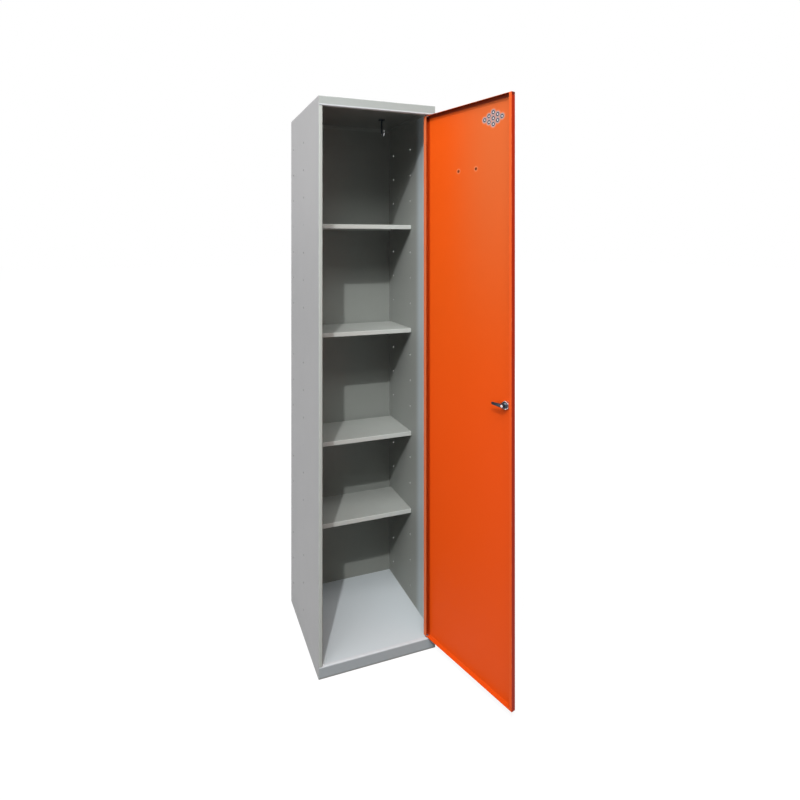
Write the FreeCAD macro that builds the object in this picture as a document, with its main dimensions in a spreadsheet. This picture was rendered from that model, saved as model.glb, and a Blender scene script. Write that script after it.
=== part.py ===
import FreeCAD, Part
import Sketcher
import os
import re

# A single-door steel broom cupboard.  Millimetres, +Z up, the front faces -Y.
# The origin is the centre of the base: the cupboard stands on z = 0.
# The door is built closed about its own hinge axis and placed by the hinge at its rest angle.

os.makedirs("parts", exist_ok=True)
doc = FreeCAD.newDocument("broom_cupboard")

# ---------------------------------------------------------------- driving dimensions

DRIVING = {
    # carcass
    "carcass_width": 400,
    "carcass_depth": 400,
    "carcass_height": 1800,
    "sheet": 0.8,
    "bend_outer": 2,
    "edge_bend_outer": 3,
    "stile_width": 12,
    "stile_return": 17,
    "stop_lip": 5,
    "hinge_return": 10,
    "rear_flange": 15,
    "rail_height": 30,
    "plinth_height": 38,
    "tray_flange": 15,
    "foot_return": 15,
    "seam_gap": 0.3,
    "relief_radius": 2.5,
    "relief_inset": 5,
    # the two columns of shelf holes in each side
    "first_row_height": 90,
    "row_pitch": 94,
    "column_front": 0,
    "column_rear": 158,
    # shelves and the pegs that carry them
    "shelf_front": -12,
    "shelf_depth": 192,
    "shelf_lip": 15,
    "shelf_hem": 7,
    "shelf_side_gap": 1.5,
    "peg_shank_radius": 2.5,
    "peg_hole_clearance": 0.1,
    "peg_size": 8,
    "peg_length": 12,
    "peg_notch_clearance": 0.4,
    # door pan
    "door_open_angle": 105,
    "door_thickness": 15,
    "door_lip_hinge_side": 12,
    "door_lip_lock_side": 9.5,
    "door_gap_hinge": 3,
    "door_gap_lock": 2.5,
    "door_gap_top": 3,
    "door_gap_bottom": 2.5,
    "hinge_setback": 9,
    "hinge_inset": 13.5,
    # nine air holes set in a diamond
    "vent_from_edge": 80,
    "vent_from_top": 58,
    "vent_step_across": 16.5,
    "vent_step_up": 8.6,
    "vent_radius": 2.5,
    # hinge pins and their bushes
    "pin_radius": 3,
    "pin_running_fit": 0.05,
    "pin_head_radius": 4.5,
    "pin_head_thick": 2,
    "pin_reach": 8,
    "bush_wall": 2,
    "bush_fit": 0.1,
    "bush_collar_radius": 7,
    "bush_end_play": 0.4,
    "bush_depth": 4,
    # cam lock
    "lock_from_edge": 31,
    "lock_height": 885,
    "lock_barrel_radius": 9,
    "lock_barrel_fit": 0.2,
    "lock_barrel_depth": 17,
    "lock_face_radius": 11,
    "lock_face_thick": 2.5,
    "lock_washer_radius": 12,
    "lock_washer_thick": 1,
    "lock_nut_flats": 22,
    "lock_nut_thick": 5,
    "lock_plug_radius": 6,
    "lock_plug_fit": 0.05,
    "key_slot_width": 1.6,
    "key_slot_height": 7,
    "key_slot_depth": 8,
    "cam_square": 5.5,
    "cam_square_fit": 0.1,
    "cam_standoff": 0.6,
    "cam_thick": 2.5,
    "cam_root_radius": 5.6,
    "cam_tip_radius": 3,
    "cam_reach": 36,
    "cam_screw_radius": 2,
    "cam_screw_fit": 0.1,
    "cam_screw_length": 10,
    "cam_screw_head_radius": 4.4,
    "cam_screw_head_thick": 3,
    "cam_screw_slot_width": 1.2,
    "cam_screw_slot_depth": 1.5,
    # card holder on the outside of the door
    "card_from_top": 198,
    "card_rivet_spacing": 74,
    "card_width": 100,
    "card_tall": 46,
    "card_sheet": 0.8,
    "card_channel": 1.6,
    "card_rim": 6,
    "rivet_radius": 1.9,
    "rivet_fit": 0.1,
    "rivet_head_radius": 3.5,
    "rivet_head_thick": 1.2,
    "rivet_tail_radius": 3,
    "rivet_tail_thick": 2,
    # hook under the roof
    "hook_x": 105,
    "hook_y": 45,
    "hook_plate_radius": 13,
    "hook_plate_thick": 2,
    "hook_wire_radius": 2.5,
    "hook_stem": 50,
    "hook_bend_radius": 12,
    "hook_tip": 8,
    "hook_ball_radius": 4,
}

# Sizes that follow from the driving dimensions.
DERIVED = {
    "bend_inner": "bend_outer - sheet",
    "edge_bend_inner": "edge_bend_outer - sheet",
    "half_width": "carcass_width / 2",
    "half_depth": "carcass_depth / 2",
    "tray_half": "half_width - sheet",
    "tray_rear": "half_depth - 2 * sheet",
    "back_half": "tray_half - bend_inner",
    "rail_bottom": "carcass_height - rail_height",
    "row_steps": "floor((rail_bottom - first_row_height) / row_pitch)",
    "opening_half": "half_width - stile_width",
    "hinge_x": "opening_half - hinge_inset",
    "hinge_y": "hinge_setback - half_depth",
    "door_hinge_edge": "hinge_inset - door_gap_hinge",
    "door_free_edge": "door_gap_lock - opening_half - hinge_x",
    "door_outer": "-hinge_setback",
    "door_inner": "door_thickness - hinge_setback",
    "door_bottom": "plinth_height + door_gap_bottom",
    "door_top": "rail_bottom - door_gap_top",
    "door_skin": "door_outer + sheet",
    "shelf_half": "tray_half - shelf_side_gap",
    "shelf_rear": "shelf_front + shelf_depth",
    "peg_half": "peg_size / 2",
    "lock_x": "door_free_edge + lock_from_edge",
    "lock_face": "door_outer - lock_face_thick",
    "lock_end": "door_outer + lock_barrel_depth",
    "washer_end": "door_skin + lock_washer_thick",
    "cam_start": "lock_end + cam_standoff",
    "cam_end": "cam_start + cam_thick",
    "cam_taper_sine": "(cam_root_radius - cam_tip_radius) / cam_reach",
    "cam_taper_cosine": "sqrt(1 - cam_taper_sine ^ 2)",
    "card_x": "(door_hinge_edge + door_free_edge) / 2",
    "card_z": "door_top - card_from_top",
    "card_outer": "door_outer - card_sheet",
    "card_front": "card_outer - card_channel - card_sheet",
    "roof_under": "carcass_height - sheet",
    "hook_top": "roof_under - hook_plate_thick",
    "hook_turn": "hook_top - hook_stem",
}

dims = doc.addObject("Spreadsheet::Sheet", "Dimensions")
for row, (alias, size) in enumerate(DRIVING.items(), start=1):
    dims.set(f"A{row}", alias)
    dims.set(f"B{row}", str(size))
    dims.setAlias(f"B{row}", alias)
doc.recompute()

NAME = re.compile(r"[a-z][a-z_0-9]*")


def formula(text):
    """Writes a size out as an expression of the spreadsheet's cells."""

    def swap(match):
        word = match.group(0)
        if word in DERIVED:
            return "(" + formula(DERIVED[word]) + ")"
        if word in DRIVING:
            return "Dimensions." + word
        return word

    return NAME.sub(swap, text)


def size_of(text):
    """The present value of a size."""
    return float(dims.evalExpression(formula(text)))


def bind(item, name, text):
    """Ties a property to the spreadsheet."""
    item.setExpression(name, formula(text))


# ---------------------------------------------------------------- sketches and features

PLAN = "XY_Plane"
FRONT = "XZ_Plane"
SIDE = "YZ_Plane"
TOUCHING = 0.0001


def new_body(label):
    """A body whose label is the name of its file."""
    body = doc.addObject("PartDesign::Body", label)
    body.Label = label
    return body


def new_sketch(body, plane_role, level):
    """A sketch on one of the body's own planes, moved to a level along X, Y or Z."""
    sketch = body.newObject("Sketcher::SketchObject", body.Label + "_sketch")
    plane = next(item for item in body.Origin.OriginFeatures if item.Role == plane_role)
    sketch.AttachmentSupport = (plane, [""])
    sketch.MapMode = "FlatFace"
    along_normal = f"-({level})" if plane_role == FRONT else level
    bind(sketch, "AttachmentOffset.Base.z", along_normal)
    sketch.Visibility = False
    return sketch


def hold_point(sketch, geometry, point, across, up):
    """Holds one point of a sketch at two bound distances from the sketch's origin."""
    for kind, text in (("DistanceX", across), ("DistanceY", up)):
        rule = Sketcher.Constraint(kind, -1, 1, geometry, point, size_of(text))
        index = sketch.addConstraint(rule)
        sketch.setExpression(f"Constraints[{index}]", formula(text))


def draw_outline(sketch, corners):
    """A closed outline of straight lines through bound corners."""
    spots = [FreeCAD.Vector(size_of(across), size_of(up), 0) for across, up in corners]
    ends = spots[1:] + spots[:1]
    lines = [sketch.addGeometry(Part.LineSegment(a, b), False) for a, b in zip(spots, ends)]
    for line, following in zip(lines, lines[1:] + lines[:1]):
        sketch.addConstraint(Sketcher.Constraint("Coincident", line, 2, following, 1))
    for line, (across, up) in zip(lines, corners):
        hold_point(sketch, line, 1, across, up)


def draw_rectangle(sketch, low_across, low_up, high_across, high_up):
    """A rectangle between two bound corners."""
    draw_outline(sketch, [
        (low_across, low_up),
        (high_across, low_up),
        (high_across, high_up),
        (low_across, high_up),
    ])


def draw_circle(sketch, across, up, radius):
    """A circle with a bound centre and radius."""
    centre = FreeCAD.Vector(size_of(across), size_of(up), 0)
    normal = FreeCAD.Vector(0, 0, 1)
    circle = sketch.addGeometry(Part.Circle(centre, normal, size_of(radius)), False)
    hold_point(sketch, circle, 3, across, up)
    index = sketch.addConstraint(Sketcher.Constraint("Radius", circle, size_of(radius)))
    sketch.setExpression(f"Constraints[{index}]", formula(radius))


def extrude(body, sketch, plane_role, start, end, kind):
    """Pads or pockets a sketch from its own level up to a higher one along X, Y or Z."""
    feature = body.newObject(f"PartDesign::{kind}", f"{body.Label}_{kind.lower()}")
    feature.Profile = sketch
    bind(feature, "Length", f"({end}) - ({start})")
    feature.Reversed = (plane_role == FRONT) == (kind == "Pad")
    body.Tip = feature
    doc.recompute()
    return feature


def slab(body, low, high, kind="Pad"):
    """A block between two bound corners, added or taken away."""
    sketch = new_sketch(body, PLAN, low[2])
    draw_rectangle(sketch, low[0], low[1], high[0], high[1])
    return extrude(body, sketch, PLAN, low[2], high[2], kind)


def rod(body, plane_role, across, up, start, end, radius, kind="Pad"):
    """A round rod square to a plane, added or taken away."""
    sketch = new_sketch(body, plane_role, start)
    draw_circle(sketch, across, up, radius)
    return extrude(body, sketch, plane_role, start, end, kind)


def prism(body, plane_role, corners, start, end, kind="Pad"):
    """A straight-sided prism square to a plane, added or taken away."""
    sketch = new_sketch(body, plane_role, start)
    draw_outline(sketch, corners)
    return extrude(body, sketch, plane_role, start, end, kind)


def bend(body, places, radius):
    """Rounds the edges that pass through the given places, each a triple of sizes."""
    base = body.Tip
    spots = [
        Part.Vertex(FreeCAD.Vector(*(size_of(text) for text in place)))
        for place in places
    ]
    edges = [
        f"Edge{number}"
        for number, edge in enumerate(base.Shape.Edges, start=1)
        if any(edge.distToShape(spot)[0] < TOUCHING for spot in spots)
    ]
    feature = body.newObject("PartDesign::Fillet", body.Label + "_bends")
    feature.Base = (base, edges)
    bind(feature, "Radius", radius)
    body.Tip = feature
    doc.recompute()
    return feature


def primitive(kind, label, sizes, place, rotation=None):
    """A Part primitive with bound sizes and a bound place."""
    item = doc.addObject(f"Part::{kind}", label)
    item.Label = label
    for name, text in sizes.items():
        bind(item, name, text)
    if rotation is not None:
        item.Placement = FreeCAD.Placement(FreeCAD.Vector(), rotation)
    for name, text in zip("xyz", place):
        bind(item, f"Placement.Base.{name}", text)
    return item


def fuse(label, items):
    """One solid made of touching primitives."""
    whole = doc.addObject("Part::MultiFuse", label)
    whole.Label = label
    whole.Shapes = items
    return whole


def group(label, items):
    """Separate solids of the same kind that share one file."""
    whole = doc.addObject("Part::Compound", label)
    whole.Label = label
    whole.Links = items
    return whole


def hang_on_hinge(body):
    """Places a piece of the door by the hinge axis, at the door's rest angle."""
    upright = FreeCAD.Vector(0, 0, 1)
    body.Placement = FreeCAD.Placement(FreeCAD.Vector(), FreeCAD.Rotation(upright, 1))
    bind(body, "Placement.Base.x", "hinge_x")
    bind(body, "Placement.Base.y", "hinge_y")
    bind(body, "Placement.Rotation.Angle", "door_open_angle")
    return body


# ---------------------------------------------------------------- carcass

LEFT = -1
RIGHT = 1


def side_panel(label, side, front_profile, outer_bends, inner_bends):
    """A side folded from one sheet: front stile, web with its shelf holes, rear flange.

    The profile's corners are distances inward from the outer face, and y.
    """
    def across(inward):
        return f"{side} * (half_width - ({inward}))"

    body = new_body(label)
    corners = front_profile + [
        ("sheet", "sheet - half_depth"),
        ("sheet", "half_depth - sheet"),
        ("rear_flange", "half_depth - sheet"),
        ("rear_flange", "half_depth"),
        ("0", "half_depth"),
    ]
    outline = [(across(inward), y) for inward, y in corners]
    prism(body, PLAN, outline, "0", "carcass_height")

    middle = "carcass_height / 2"
    rear_outer = ("0", "half_depth")
    rear_inner = ("sheet", "half_depth - sheet")
    outer = [(across(inward), y, middle) for inward, y in outer_bends + [rear_outer]]
    inner = [(across(inward), y, middle) for inward, y in inner_bends + [rear_inner]]
    bend(body, inner, "bend_inner")
    bend(body, outer, "bend_outer")

    reach = "stile_width + stop_lip + sheet"
    edges = sorted([across("sheet"), across(reach)], key=size_of)
    front = "-half_depth - sheet"
    behind = "stile_return + sheet - half_depth"
    slab(body, (edges[0], front, "0"), (edges[1], behind, "plinth_height + seam_gap"), "Pocket")
    above = "rail_bottom - seam_gap"
    slab(body, (edges[0], front, above), (edges[1], behind, "carcass_height"), "Pocket")

    start = f"{side} * half_width - 2 * sheet"
    end = f"{side} * half_width + 2 * sheet"
    holes = new_sketch(body, SIDE, start)
    for column in ("column_front", "column_rear"):
        draw_circle(holes, column, "first_row_height", "peg_shank_radius + peg_hole_clearance")
    first_row = extrude(body, holes, SIDE, start, end, "Pocket")
    rows = body.newObject("PartDesign::LinearPattern", label + "_rows")
    rows.Originals = [first_row]
    rows.Direction = (holes, ["V_Axis"])
    bind(rows, "Length", "row_steps * row_pitch")
    bind(rows, "Occurrences", "row_steps + 1")
    body.Tip = rows
    return body


STILE_FRONT = [("0", "-half_depth"), ("stile_width", "-half_depth")]
STILE_INSIDE = [("stile_width - sheet", "sheet - half_depth"), ("sheet", "sheet - half_depth")]

# On the lock side the stile turns back and in again: the door stops on that lip.
STOP_FRONT = "stile_return - sheet - half_depth"
STOP_BACK = "stile_return - half_depth"
left_side_panel = side_panel(
    "left_side_panel",
    LEFT,
    STILE_FRONT + [
        ("stile_width", STOP_FRONT),
        ("stile_width + stop_lip", STOP_FRONT),
        ("stile_width + stop_lip", STOP_BACK),
        ("stile_width - sheet", STOP_BACK),
        ("stile_width - sheet", "sheet - half_depth"),
    ],
    STILE_FRONT + [("stile_width - sheet", STOP_BACK)],
    STILE_INSIDE + [("stile_width", STOP_FRONT)],
)

# On the hinge side the stile only turns back, clear of the swinging door.
right_side_panel = side_panel(
    "right_side_panel",
    RIGHT,
    STILE_FRONT + [
        ("stile_width", "hinge_return - half_depth"),
        ("stile_width - sheet", "hinge_return - half_depth"),
        ("stile_width - sheet", "sheet - half_depth"),
    ],
    STILE_FRONT,
    STILE_INSIDE,
)

back_panel = new_body("back_panel")
slab(
    back_panel,
    ("-back_half", "tray_rear", "0"),
    ("back_half", "half_depth - sheet", "carcass_height"),
)

BUSH_HOLE = "pin_radius + pin_running_fit + bush_wall + bush_fit"


def rear_corners(height):
    """The upright rear edges of a tray, which lie in the sides' inner bends."""
    return [("-tray_half", "tray_rear", height), ("tray_half", "tray_rear", height)]


def roof():
    """The roof: a tray open below, its front deepened into the top rail."""
    body = new_body("roof_panel")
    slab(body, ("-tray_half", "-half_depth", "rail_bottom"), ("tray_half", "tray_rear", "carcass_height"))
    slab(
        body,
        ("sheet - tray_half", "sheet - half_depth", "rail_bottom + sheet"),
        ("tray_half - sheet", "tray_rear - sheet", "roof_under"),
        "Pocket",
    )
    bend(body, [("0", "sheet - half_depth", "roof_under")], "bend_inner")
    bend(body, [("0", "sheet - half_depth", "rail_bottom + sheet")], "edge_bend_inner")
    bend(body, [("0", "-half_depth", "carcass_height")], "bend_outer")
    bend(body, [("0", "-half_depth", "rail_bottom")], "edge_bend_outer")
    bend(body, rear_corners("roof_under"), "bend_inner")
    slab(
        body,
        ("-half_width", "stile_return - half_depth", "rail_bottom"),
        ("half_width", "half_depth", "carcass_height - tray_flange"),
        "Pocket",
    )
    rod(body, PLAN, "hinge_x", "hinge_y", "rail_bottom", "rail_bottom + sheet", BUSH_HOLE, "Pocket")
    return body


def floor():
    """The floor: a tray open below that stands on its plinth and on turned-in feet."""
    body = new_body("floor_panel")
    slab(body, ("-tray_half", "-half_depth", "0"), ("tray_half", "tray_rear", "plinth_height"))
    slab(
        body,
        ("sheet - tray_half", "sheet - half_depth", "sheet"),
        ("tray_half - sheet", "tray_rear - sheet", "plinth_height - sheet"),
        "Pocket",
    )
    bend(body, [("0", "sheet - half_depth", "plinth_height - sheet")], "edge_bend_inner")
    bend(body, [("0", "sheet - half_depth", "sheet")], "bend_inner")
    bend(body, [("0", "-half_depth", "plinth_height")], "edge_bend_outer")
    bend(body, [("0", "-half_depth", "0")], "bend_outer")
    bend(body, rear_corners("plinth_height / 2"), "bend_inner")
    slab(
        body,
        ("foot_return - tray_half", "foot_return - half_depth", "0"),
        ("tray_half - foot_return", "tray_rear - foot_return", "sheet"),
        "Pocket",
    )
    under = "plinth_height - sheet"
    rod(body, PLAN, "hinge_x", "hinge_y", under, "plinth_height", BUSH_HOLE, "Pocket")
    relief_x = "relief_inset - opening_half"
    relief_y = "relief_inset + edge_bend_outer - half_depth"
    rod(body, PLAN, relief_x, relief_y, under, "plinth_height", "relief_radius", "Pocket")
    return body


roof_panel = roof()
floor_panel = floor()

# ---------------------------------------------------------------- shelves

# The row of holes that carries each shelf, counted up from the lowest row, which is 0.
SHELF_ROWS = (3, 6, 10, 14)
COLUMNS = ("column_front", "column_rear")


def peg_height(row):
    """The height of a row of shelf holes."""
    return f"first_row_height + {row} * row_pitch"


def shelf(label, row):
    """A shelf tray open below, hemmed in front and notched over its four pegs."""
    body = new_body(label)
    slab(body, ("-shelf_half", "shelf_front", "-shelf_lip"), ("shelf_half", "shelf_rear", "0"))
    slab(
        body,
        ("sheet - shelf_half", "sheet + shelf_front", "sheet - shelf_lip"),
        ("shelf_half - sheet", "shelf_rear - sheet", "-sheet"),
        "Pocket",
    )
    bend(body, [("0", "sheet + shelf_front", "-sheet")], "bend_inner")
    bend(body, [("0", "shelf_front", "0")], "bend_outer")
    slab(
        body,
        ("sheet - shelf_half", "shelf_front + shelf_hem", "-shelf_lip"),
        ("shelf_half - sheet", "shelf_rear - sheet", "sheet - shelf_lip"),
        "Pocket",
    )
    for column in COLUMNS:
        room = "(peg_half + peg_notch_clearance)"
        slab(
            body,
            ("-half_width", f"{column} - {room}", "-shelf_lip"),
            ("half_width", f"{column} + {room}", "-sheet"),
            "Pocket",
        )
    bind(body, "Placement.Base.z", f"{peg_height(row)} + peg_half + sheet")
    return body


shelves = [shelf(f"shelf_{number}", row) for number, row in enumerate(SHELF_ROWS, start=1)]

SHANK_LYING = {
    LEFT: FreeCAD.Rotation(FreeCAD.Vector(0, 1, 0), -90),
    RIGHT: FreeCAD.Rotation(FreeCAD.Vector(0, 1, 0), 90),
}


def peg(label, side, column, row):
    """A square peg under the shelf, its round shank through the side's hole."""
    inner_end = "tray_half - peg_length" if side == RIGHT else "-tray_half"
    block = primitive(
        "Box",
        label + "_block",
        {"Length": "peg_length", "Width": "peg_size", "Height": "peg_size"},
        (inner_end, f"{column} - peg_half", f"{peg_height(row)} - peg_half"),
    )
    shank = primitive(
        "Cylinder",
        label + "_shank",
        {"Radius": "peg_shank_radius", "Height": "sheet"},
        (f"{side} * tray_half", column, peg_height(row)),
        SHANK_LYING[side],
    )
    return fuse(label, [block, shank])


shelf_pegs = group("shelf_pegs", [
    peg(f"peg_{number}_{'left' if side == LEFT else 'right'}_{column}", side, column, row)
    for number, row in enumerate(SHELF_ROWS, start=1)
    for side in (LEFT, RIGHT)
    for column in COLUMNS
])

# ---------------------------------------------------------------- door


def door():
    """The door pan: skin, four flanges and a lip turned in along each of the two long ones."""
    body = new_body("door_panel")
    middle_x = "card_x"
    middle_z = "(door_bottom + door_top) / 2"
    slab(
        body,
        ("door_free_edge", "door_outer", "door_bottom"),
        ("door_hinge_edge", "door_inner", "door_top"),
    )
    slab(
        body,
        ("door_free_edge + sheet", "door_skin", "door_bottom + sheet"),
        ("door_hinge_edge - sheet", "door_inner - sheet", "door_top - sheet"),
        "Pocket",
    )
    bend(body, [
        ("door_free_edge + sheet", "door_skin", middle_z),
        ("door_hinge_edge - sheet", "door_skin", middle_z),
        (middle_x, "door_skin", "door_bottom + sheet"),
        (middle_x, "door_skin", "door_top - sheet"),
    ], "bend_inner")
    bend(body, [
        ("door_free_edge", "door_outer", middle_z),
        ("door_hinge_edge", "door_outer", middle_z),
        (middle_x, "door_outer", "door_bottom"),
        (middle_x, "door_outer", "door_top"),
    ], "bend_outer")
    slab(
        body,
        ("door_free_edge + door_lip_lock_side", "door_inner - sheet", "door_bottom + sheet"),
        ("door_hinge_edge - door_lip_hinge_side", "door_inner", "door_top - sheet"),
        "Pocket",
    )

    start, end = "door_outer", "door_skin"
    vents = new_sketch(body, FRONT, start)
    for rise in (-1, 0, 1):
        for fall in (-1, 0, 1):
            across = f"door_free_edge + vent_from_edge + {rise + fall} * vent_step_across"
            up = f"door_top - vent_from_top + {rise - fall} * vent_step_up"
            draw_circle(vents, across, up, "vent_radius")
    extrude(body, vents, FRONT, start, end, "Pocket")

    fixings = new_sketch(body, FRONT, start)
    for hand in (LEFT, RIGHT):
        draw_circle(fixings, rivet_x(hand), "card_z", "rivet_radius + rivet_fit")
    draw_circle(fixings, "lock_x", "lock_height", "lock_barrel_radius + lock_barrel_fit")
    extrude(body, fixings, FRONT, start, end, "Pocket")

    pin_hole = "pin_radius + pin_running_fit"
    rod(body, PLAN, "0", "0", "door_bottom", "door_bottom + sheet", pin_hole, "Pocket")
    rod(body, PLAN, "0", "0", "door_top - sheet", "door_top", pin_hole, "Pocket")
    return hang_on_hinge(body)


def rivet_x(hand):
    """Where a rivet of the card holder stands across the door."""
    return f"card_x + {hand} * card_rivet_spacing / 2"


door_panel = door()

# ---------------------------------------------------------------- hinge pins and bushes


def hinge_pin(label, seat, tip, head_end):
    """A pin headed inside the door's flange: seat, tip and head end are heights."""
    body = new_body(label)
    shank = sorted([seat, tip], key=size_of)
    head = sorted([seat, head_end], key=size_of)
    rod(body, PLAN, "0", "0", shank[0], shank[1], "pin_radius")
    rod(body, PLAN, "0", "0", head[0], head[1], "pin_head_radius")
    return hang_on_hinge(body)


def hinge_bush(label, collar, barrel):
    """A collared bush in the carcass: collar and barrel are pairs of heights, low then high."""
    body = new_body(label)
    heights = sorted(collar + barrel, key=size_of)
    axis = ("hinge_x", "hinge_y")
    rod(body, PLAN, *axis, *collar, "bush_collar_radius")
    rod(body, PLAN, *axis, *barrel, "pin_radius + pin_running_fit + bush_wall")
    rod(body, PLAN, *axis, heights[0], heights[-1], "pin_radius + pin_running_fit", "Pocket")
    return body


SEAT_TOP = "door_top - sheet"
SEAT_BOTTOM = "door_bottom + sheet"
hinge_pin_top = hinge_pin(
    "hinge_pin_top", SEAT_TOP, SEAT_TOP + " + pin_reach", SEAT_TOP + " - pin_head_thick"
)
hinge_pin_bottom = hinge_pin(
    "hinge_pin_bottom", SEAT_BOTTOM, SEAT_BOTTOM + " - pin_reach", SEAT_BOTTOM + " + pin_head_thick"
)
hinge_bush_top = hinge_bush(
    "hinge_bush_top",
    ("door_top + bush_end_play", "rail_bottom"),
    ("rail_bottom", "rail_bottom + bush_depth"),
)
hinge_bush_bottom = hinge_bush(
    "hinge_bush_bottom",
    ("plinth_height", "door_bottom - bush_end_play"),
    ("plinth_height - bush_depth", "plinth_height"),
)

# ---------------------------------------------------------------- cam lock


def lock_rod(body, start, end, radius, kind="Pad"):
    """A round length on the lock's axis."""
    rod(body, FRONT, "lock_x", "lock_height", start, end, radius, kind)


def lock_box(body, width, height, start, end, kind="Pad"):
    """A four-sided length on the lock's axis."""
    sides = [("-", "-"), ("+", "-"), ("+", "+"), ("-", "+")]
    corners = [
        (f"lock_x {across} {width} / 2", f"lock_height {up} {height} / 2")
        for across, up in sides
    ]
    prism(body, FRONT, corners, start, end, kind)


lock_housing = new_body("lock_housing")
lock_rod(lock_housing, "lock_face", "door_outer", "lock_face_radius")
lock_rod(lock_housing, "door_outer", "lock_end", "lock_barrel_radius")
lock_rod(lock_housing, "lock_face", "lock_end", "lock_plug_radius + lock_plug_fit", "Pocket")

lock_washer = new_body("lock_washer")
lock_rod(lock_washer, "door_skin", "washer_end", "lock_washer_radius")
lock_rod(lock_washer, "door_skin", "washer_end", "lock_barrel_radius + lock_barrel_fit", "Pocket")

NUT_CORNERS = 6
FULL_TURN = 360
nut_end = "washer_end + lock_nut_thick"
lock_nut = new_body("lock_nut")
prism(lock_nut, FRONT, [
    (
        f"lock_x + lock_nut_flats / sqrt(3) * cos({corner * FULL_TURN / NUT_CORNERS})",
        f"lock_height + lock_nut_flats / sqrt(3) * sin({corner * FULL_TURN / NUT_CORNERS})",
    )
    for corner in range(NUT_CORNERS)
], "washer_end", nut_end)
lock_rod(lock_nut, "washer_end", nut_end, "lock_barrel_radius + lock_barrel_fit", "Pocket")

lock_plug = new_body("lock_plug")
lock_rod(lock_plug, "lock_face", "lock_end", "lock_plug_radius")
lock_box(lock_plug, "cam_square", "cam_square", "lock_end", "cam_end")
key_end = "lock_face + key_slot_depth"
lock_box(lock_plug, "key_slot_width", "key_slot_height", "lock_face", key_end, "Pocket")
screw_start = "cam_end - cam_screw_length"
lock_rod(lock_plug, screw_start, "cam_end", "cam_screw_radius + cam_screw_fit", "Pocket")

cam_lever = new_body("cam_lever")
tip_x = "lock_x + cam_reach"
lock_rod(cam_lever, "cam_start", "cam_end", "cam_root_radius")
prism(cam_lever, FRONT, [
    (
        f"{centre} + {radius} * cam_taper_sine",
        f"lock_height + {hand} * {radius} * cam_taper_cosine",
    )
    for centre, radius, hand in (
        ("lock_x", "cam_root_radius", -1),
        (tip_x, "cam_tip_radius", -1),
        (tip_x, "cam_tip_radius", 1),
        ("lock_x", "cam_root_radius", 1),
    )
], "cam_start", "cam_end")
rod(cam_lever, FRONT, tip_x, "lock_height", "cam_start", "cam_end", "cam_tip_radius")
square_hole = "(cam_square + 2 * cam_square_fit)"
lock_box(cam_lever, square_hole, square_hole, "cam_start", "cam_end", "Pocket")

cam_screw = new_body("cam_screw")
head_end = "cam_end + cam_screw_head_thick"
lock_rod(cam_screw, screw_start, "cam_end", "cam_screw_radius")
lock_rod(cam_screw, "cam_end", head_end, "cam_screw_head_radius")
slot_floor = f"{head_end} - cam_screw_slot_depth"
slot_length = "(2 * cam_screw_head_radius)"
lock_box(cam_screw, "cam_screw_slot_width", slot_length, slot_floor, head_end, "Pocket")

lock_pieces = [lock_housing, lock_washer, lock_nut, lock_plug, cam_lever, cam_screw]
for piece in lock_pieces:
    hang_on_hinge(piece)

# ---------------------------------------------------------------- card holder


def holder():
    """A plate folded forward round three sides, open above for the card."""
    body = new_body("card_holder")
    half = "card_width / 2"
    low = "card_z - card_tall / 2"
    high = "card_z + card_tall / 2"
    slab(
        body,
        (f"card_x - {half}", "card_front", low),
        (f"card_x + {half}", "door_outer", high),
    )
    slab(
        body,
        (f"card_x - {half} + card_sheet", "card_front + card_sheet", f"{low} + card_sheet"),
        (f"card_x + {half} - card_sheet", "card_outer", f"{high} + card_sheet"),
        "Pocket",
    )
    slab(
        body,
        (f"card_x - {half} + card_rim", "card_front", f"{low} + card_rim"),
        (f"card_x + {half} - card_rim", "card_front + card_sheet", f"{high} + card_sheet"),
        "Pocket",
    )
    for hand in (LEFT, RIGHT):
        spot = (rivet_x(hand), "card_z", "card_outer", "door_outer")
        rod(body, FRONT, *spot, "rivet_radius + rivet_fit", "Pocket")
    return hang_on_hinge(body)


def card_rivet(label, hand):
    """A rivet with its head in the card holder and its tail behind the door's skin."""
    body = new_body(label)
    x = rivet_x(hand)
    tail_end = "door_skin + rivet_tail_thick"
    rod(body, FRONT, x, "card_z", "card_outer", "door_skin", "rivet_radius")
    rod(body, FRONT, x, "card_z", "card_outer - rivet_head_thick", "card_outer", "rivet_head_radius")
    rod(body, FRONT, x, "card_z", "door_skin", tail_end, "rivet_tail_radius")
    return hang_on_hinge(body)


card_holder = holder()
card_holder_rivets = group("card_holder_rivets", [
    card_rivet("card_rivet_left", LEFT),
    card_rivet("card_rivet_right", RIGHT),
])

# ---------------------------------------------------------------- hook under the roof

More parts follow.
